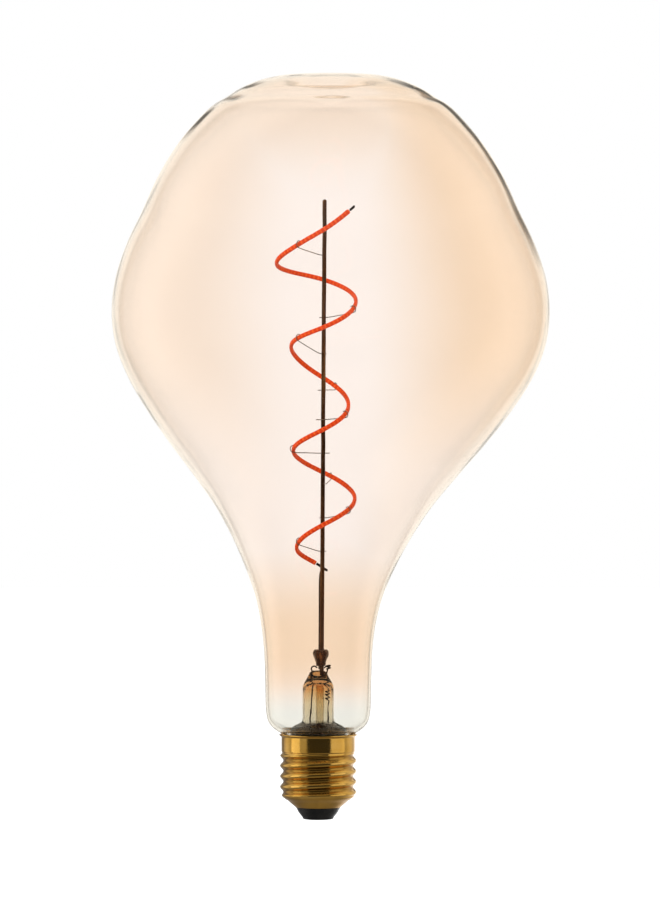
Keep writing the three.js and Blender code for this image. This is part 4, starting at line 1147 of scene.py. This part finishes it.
def white_surroundings(ambient):
    """A white studio. What glass lets through darkens overhead, and gloss mirrors softboxes and dark gaps."""
    world = bpy.data.worlds.new("white_studio")
    bpy.context.scene.world = world
    w = Nodes(world)
    sky = w.tree.nodes["Background"]

    def times(a, b):
        return w.maths("MULTIPLY", a, b)

    def plus(a, b):
        return w.maths("ADD", a, b)

    def dimmed(light, dark):
        return times(light, w.maths("SUBTRACT", 1.0, dark))

    def degrees_of(a, b):
        return times(w.maths("ARCTAN2", a, b), 180 / math.pi)

    def flag(low, high, soft, depth):
        """A dark flag behind the bulb, between two angles of a clock face seen from the front."""
        window = times(w.spread(clock, low - soft, low + soft), w.spread(clock, high + soft, high - soft))
        return times(window, depth)

    x, y, z = w.split(w.add("TexCoord"))
    turn = degrees_of(x, times(y, -1.0))
    aside = w.maths("ABSOLUTE", turn)
    clock = degrees_of(z, x)

    gloss = plus(times(w.spread(aside, 72, 118), 0.8), 0.04)
    gloss = dimmed(gloss, times(times(w.spread(aside, 134, 142), w.spread(aside, 152, 146)), 0.3))
    gloss = plus(gloss, times(w.spread(aside, 146, 154), 0.25))
    outline = times(w.spread(y, 0.86, 0.9), w.spread(y, 0.975, 0.955))
    flags = plus(flag(24, 72, 8, 0.85), plus(flag(128, 137, 3, 0.85), flag(109, 116, 3, 0.8)))
    gloss = dimmed(gloss, times(outline, flags))
    gloss = times(gloss, w.spread(z, -0.85, -0.3, 0.06, 1.0))
    gloss = plus(gloss, times(w.spread(z, 0.55, 0.95), 0.3))
    through = w.spread(z, 0.5, 0.95, 1.17, 0.75)

    path = w.add("LightPath").node.outputs
    on_glass = path["Is Singular Ray"]
    glass = plus(gloss, times(w.spread(y, -0.86, -0.94), 0.06))
    metal = times(gloss, w.spread(turn, -150, -115, 0.3, 1.0))
    metal = plus(metal, times(w.spread(z, -0.4, -0.9), 0.26))
    mirrored = w.maths("MINIMUM", path["Glossy Depth"], 1.0)
    seen_through = w.maths("MINIMUM", path["Transmission Depth"], 1.0)
    strength = w.mix(path["Is Diffuse Ray"], 1.0, ambient)
    strength = w.mix(seen_through, strength, through)
    strength = w.mix(mirrored, strength, w.mix(on_glass, metal, glass))
    w.feed(sky, "Strength", strength)
    w.feed(sky, "Color", w.mix(times(mirrored, on_glass), WHITE, (1, 0.95, 0.86, 1)))


def build_stage():
    stage = settings("stage")
    f = Finish("pale_floor")
    cloud = f.grain(3.0, detail=3.0)
    pale = stage.floor_colour
    f.surface(
        Base_Color=f.ramp(cloud, (0.3, mixed(pale, (1, 1, 1), 0.1)), (0.7, pale)),
        Roughness=f.spread(cloud, 0.3, 0.7, 0.75, 0.9), Specular_IOR_Level=0.0,
    )
    rings = [circle(r, 0, 128) for r in (0, 300, 900, 2000, stage.floor_radius / MM)]
    vertices, faces = join_rings(rings, False)
    floor = make_piece("studio_floor", vertices, faces, f.material, 40)
    floor.location.z = -stage.floor_drop
    floor.visible_glossy = floor.visible_transmission = False

    white_surroundings(stage.ambient)
    soft_lamp("key_lamp", (-1.3, -0.8, 0.9), (0, 0, 0.14), 0.8, 1.4, stage.key_power, (1, 0.985, 0.96))
    soft_lamp("fill_lamp", (1.4, -0.7, 0.6), (0, 0, 0.12), 0.8, 1.2, stage.fill_power, (0.97, 0.985, 1))

    lit = bpy.data.collections.new("cap_parts")
    for name in ("brass_screw_cap", "black_insulator", "riveted_contact"):
        lit.objects.link(bpy.data.objects[name])
    cap_softbox("left_softbox", -76, 17, 1.15, lit)
    cap_softbox("left_glow", -46.5, 11, 0.45, lit)
    cap_softbox("right_softbox", 66, 26, 0.8, lit)

    camera = bpy.data.cameras.new("studio_camera")
    camera.sensor_width = CAMERA_SENSOR
    camera.lens = CAMERA_LENS
    holder = bpy.data.objects.new("studio_camera", camera)
    holder.location = CAMERA_PLACE
    holder.rotation_euler = (math.pi / 2, 0, 0)
    bpy.context.scene.collection.objects.link(holder)
    bpy.context.scene.camera = holder
    scene = bpy.context.scene
    scene.view_settings.view_transform = "Standard"
    scene.cycles.max_bounces = scene.cycles.transmission_bounces = GLASS_BOUNCES


# ---------- operators and panel ----------


class BulbOperator:
    """What the bulb's operators share."""

    bl_options = {"REGISTER", "UNDO"}


class OBJECT_OT_bulb_envelope(BulbOperator, bpy.types.Operator):
    """Build the double-walled amber glass envelope"""

    bl_idname = "object.bulb_envelope"
    bl_label = "Glass Envelope"

    def execute(self, context):
        build_envelope()
        return {"FINISHED"}


class OBJECT_OT_bulb_stem(BulbOperator, bpy.types.Operator):
    """Build the glass stem with its press, exhaust tube and melted bead"""

    bl_idname = "object.bulb_stem"
    bl_label = "Stem"

    def execute(self, context):
        build_stem()
        build_bead()
        return {"FINISHED"}


class OBJECT_OT_bulb_post(BulbOperator, bpy.types.Operator):
    """Build the post that carries the filament"""

    bl_idname = "object.bulb_post"
    bl_label = "Post"

    def execute(self, context):
        build_post()
        return {"FINISHED"}


class OBJECT_OT_bulb_filament(BulbOperator, bpy.types.Operator):
    """Build the spiral filament and its two end tabs"""

    bl_idname = "object.bulb_filament"
    bl_label = "Filament"

    def execute(self, context):
        build_filament()
        return {"FINISHED"}


class OBJECT_OT_bulb_hooks(BulbOperator, bpy.types.Operator):
    """Build the wire hooks that hold the filament"""

    bl_idname = "object.bulb_hooks"
    bl_label = "Hooks"

    def execute(self, context):
        build_hooks()
        return {"FINISHED"}


class OBJECT_OT_bulb_wires(BulbOperator, bpy.types.Operator):
    """Build the lead wires, the return wire and the thin link"""

    bl_idname = "object.bulb_wires"
    bl_label = "Wires"

    def execute(self, context):
        build_wires()
        return {"FINISHED"}


class OBJECT_OT_bulb_cap(BulbOperator, bpy.types.Operator):
    """Build the brass screw cap, its insulator, contact and cement"""

    bl_idname = "object.bulb_cap"
    bl_label = "Screw Cap"

    def execute(self, context):
        build_cap()
        build_insulator()
        build_cement()
        return {"FINISHED"}


class OBJECT_OT_bulb_driver(BulbOperator, bpy.types.Operator):
    """Give the driver's and the radio's parts their finishes"""

    bl_idname = "object.bulb_driver"
    bl_label = "Driver"

    def execute(self, context):
        finish_driver()
        return {"FINISHED"}


class OBJECT_OT_bulb_stage(BulbOperator, bpy.types.Operator):
    """Set up the floor, the lamps, the white surroundings and the camera"""

    bl_idname = "object.bulb_stage"
    bl_label = "Stage"

    def execute(self, context):
        build_stage()
        return {"FINISHED"}


OPERATORS = (
    OBJECT_OT_bulb_envelope, OBJECT_OT_bulb_stem, OBJECT_OT_bulb_post, OBJECT_OT_bulb_filament,
    OBJECT_OT_bulb_hooks, OBJECT_OT_bulb_wires, OBJECT_OT_bulb_cap, OBJECT_OT_bulb_driver,
    OBJECT_OT_bulb_stage,
)
GROUPS = {
    "glass": BulbGlassSettings, "stem": BulbStemSettings, "filament": BulbFilamentSettings,
    "cap": BulbCapSettings, "stage": BulbStageSettings,
}


class VIEW3D_PT_bulb(bpy.types.Panel):
    """The bulb's settings and operators"""

    bl_idname = "VIEW3D_PT_bulb"
    bl_label = "Filament Bulb"
    bl_space_type = "VIEW_3D"
    bl_region_type = "UI"
    bl_category = "Bulb"

    def draw(self, context):
        layout = self.layout
        for name in GROUPS:
            group = getattr(context.scene, "bulb_" + name)
            box = layout.box()
            box.label(text=name.capitalize())
            for key in group.__annotations__:
                box.prop(group, key)
        column = layout.column(align=True)
        for kind in OPERATORS:
            column.operator(kind.bl_idname)


CLASSES = (*GROUPS.values(), *OPERATORS, VIEW3D_PT_bulb)


def register():
    for kind in CLASSES:
        bpy.utils.register_class(kind)
    for name, group in GROUPS.items():
        setattr(bpy.types.Scene, "bulb_" + name, PointerProperty(type=group))


def unregister():
    for name in GROUPS:
        delattr(bpy.types.Scene, "bulb_" + name)
    for kind in reversed(CLASSES):
        bpy.utils.unregister_class(kind)


def main():
    register()
    for build in (
        bpy.ops.object.bulb_envelope, bpy.ops.object.bulb_stem, bpy.ops.object.bulb_post,
        bpy.ops.object.bulb_filament, bpy.ops.object.bulb_hooks, bpy.ops.object.bulb_wires,
        bpy.ops.object.bulb_cap, bpy.ops.object.bulb_driver, bpy.ops.object.bulb_stage,
    ):
        build()


if __name__ == "__main__":
    main()
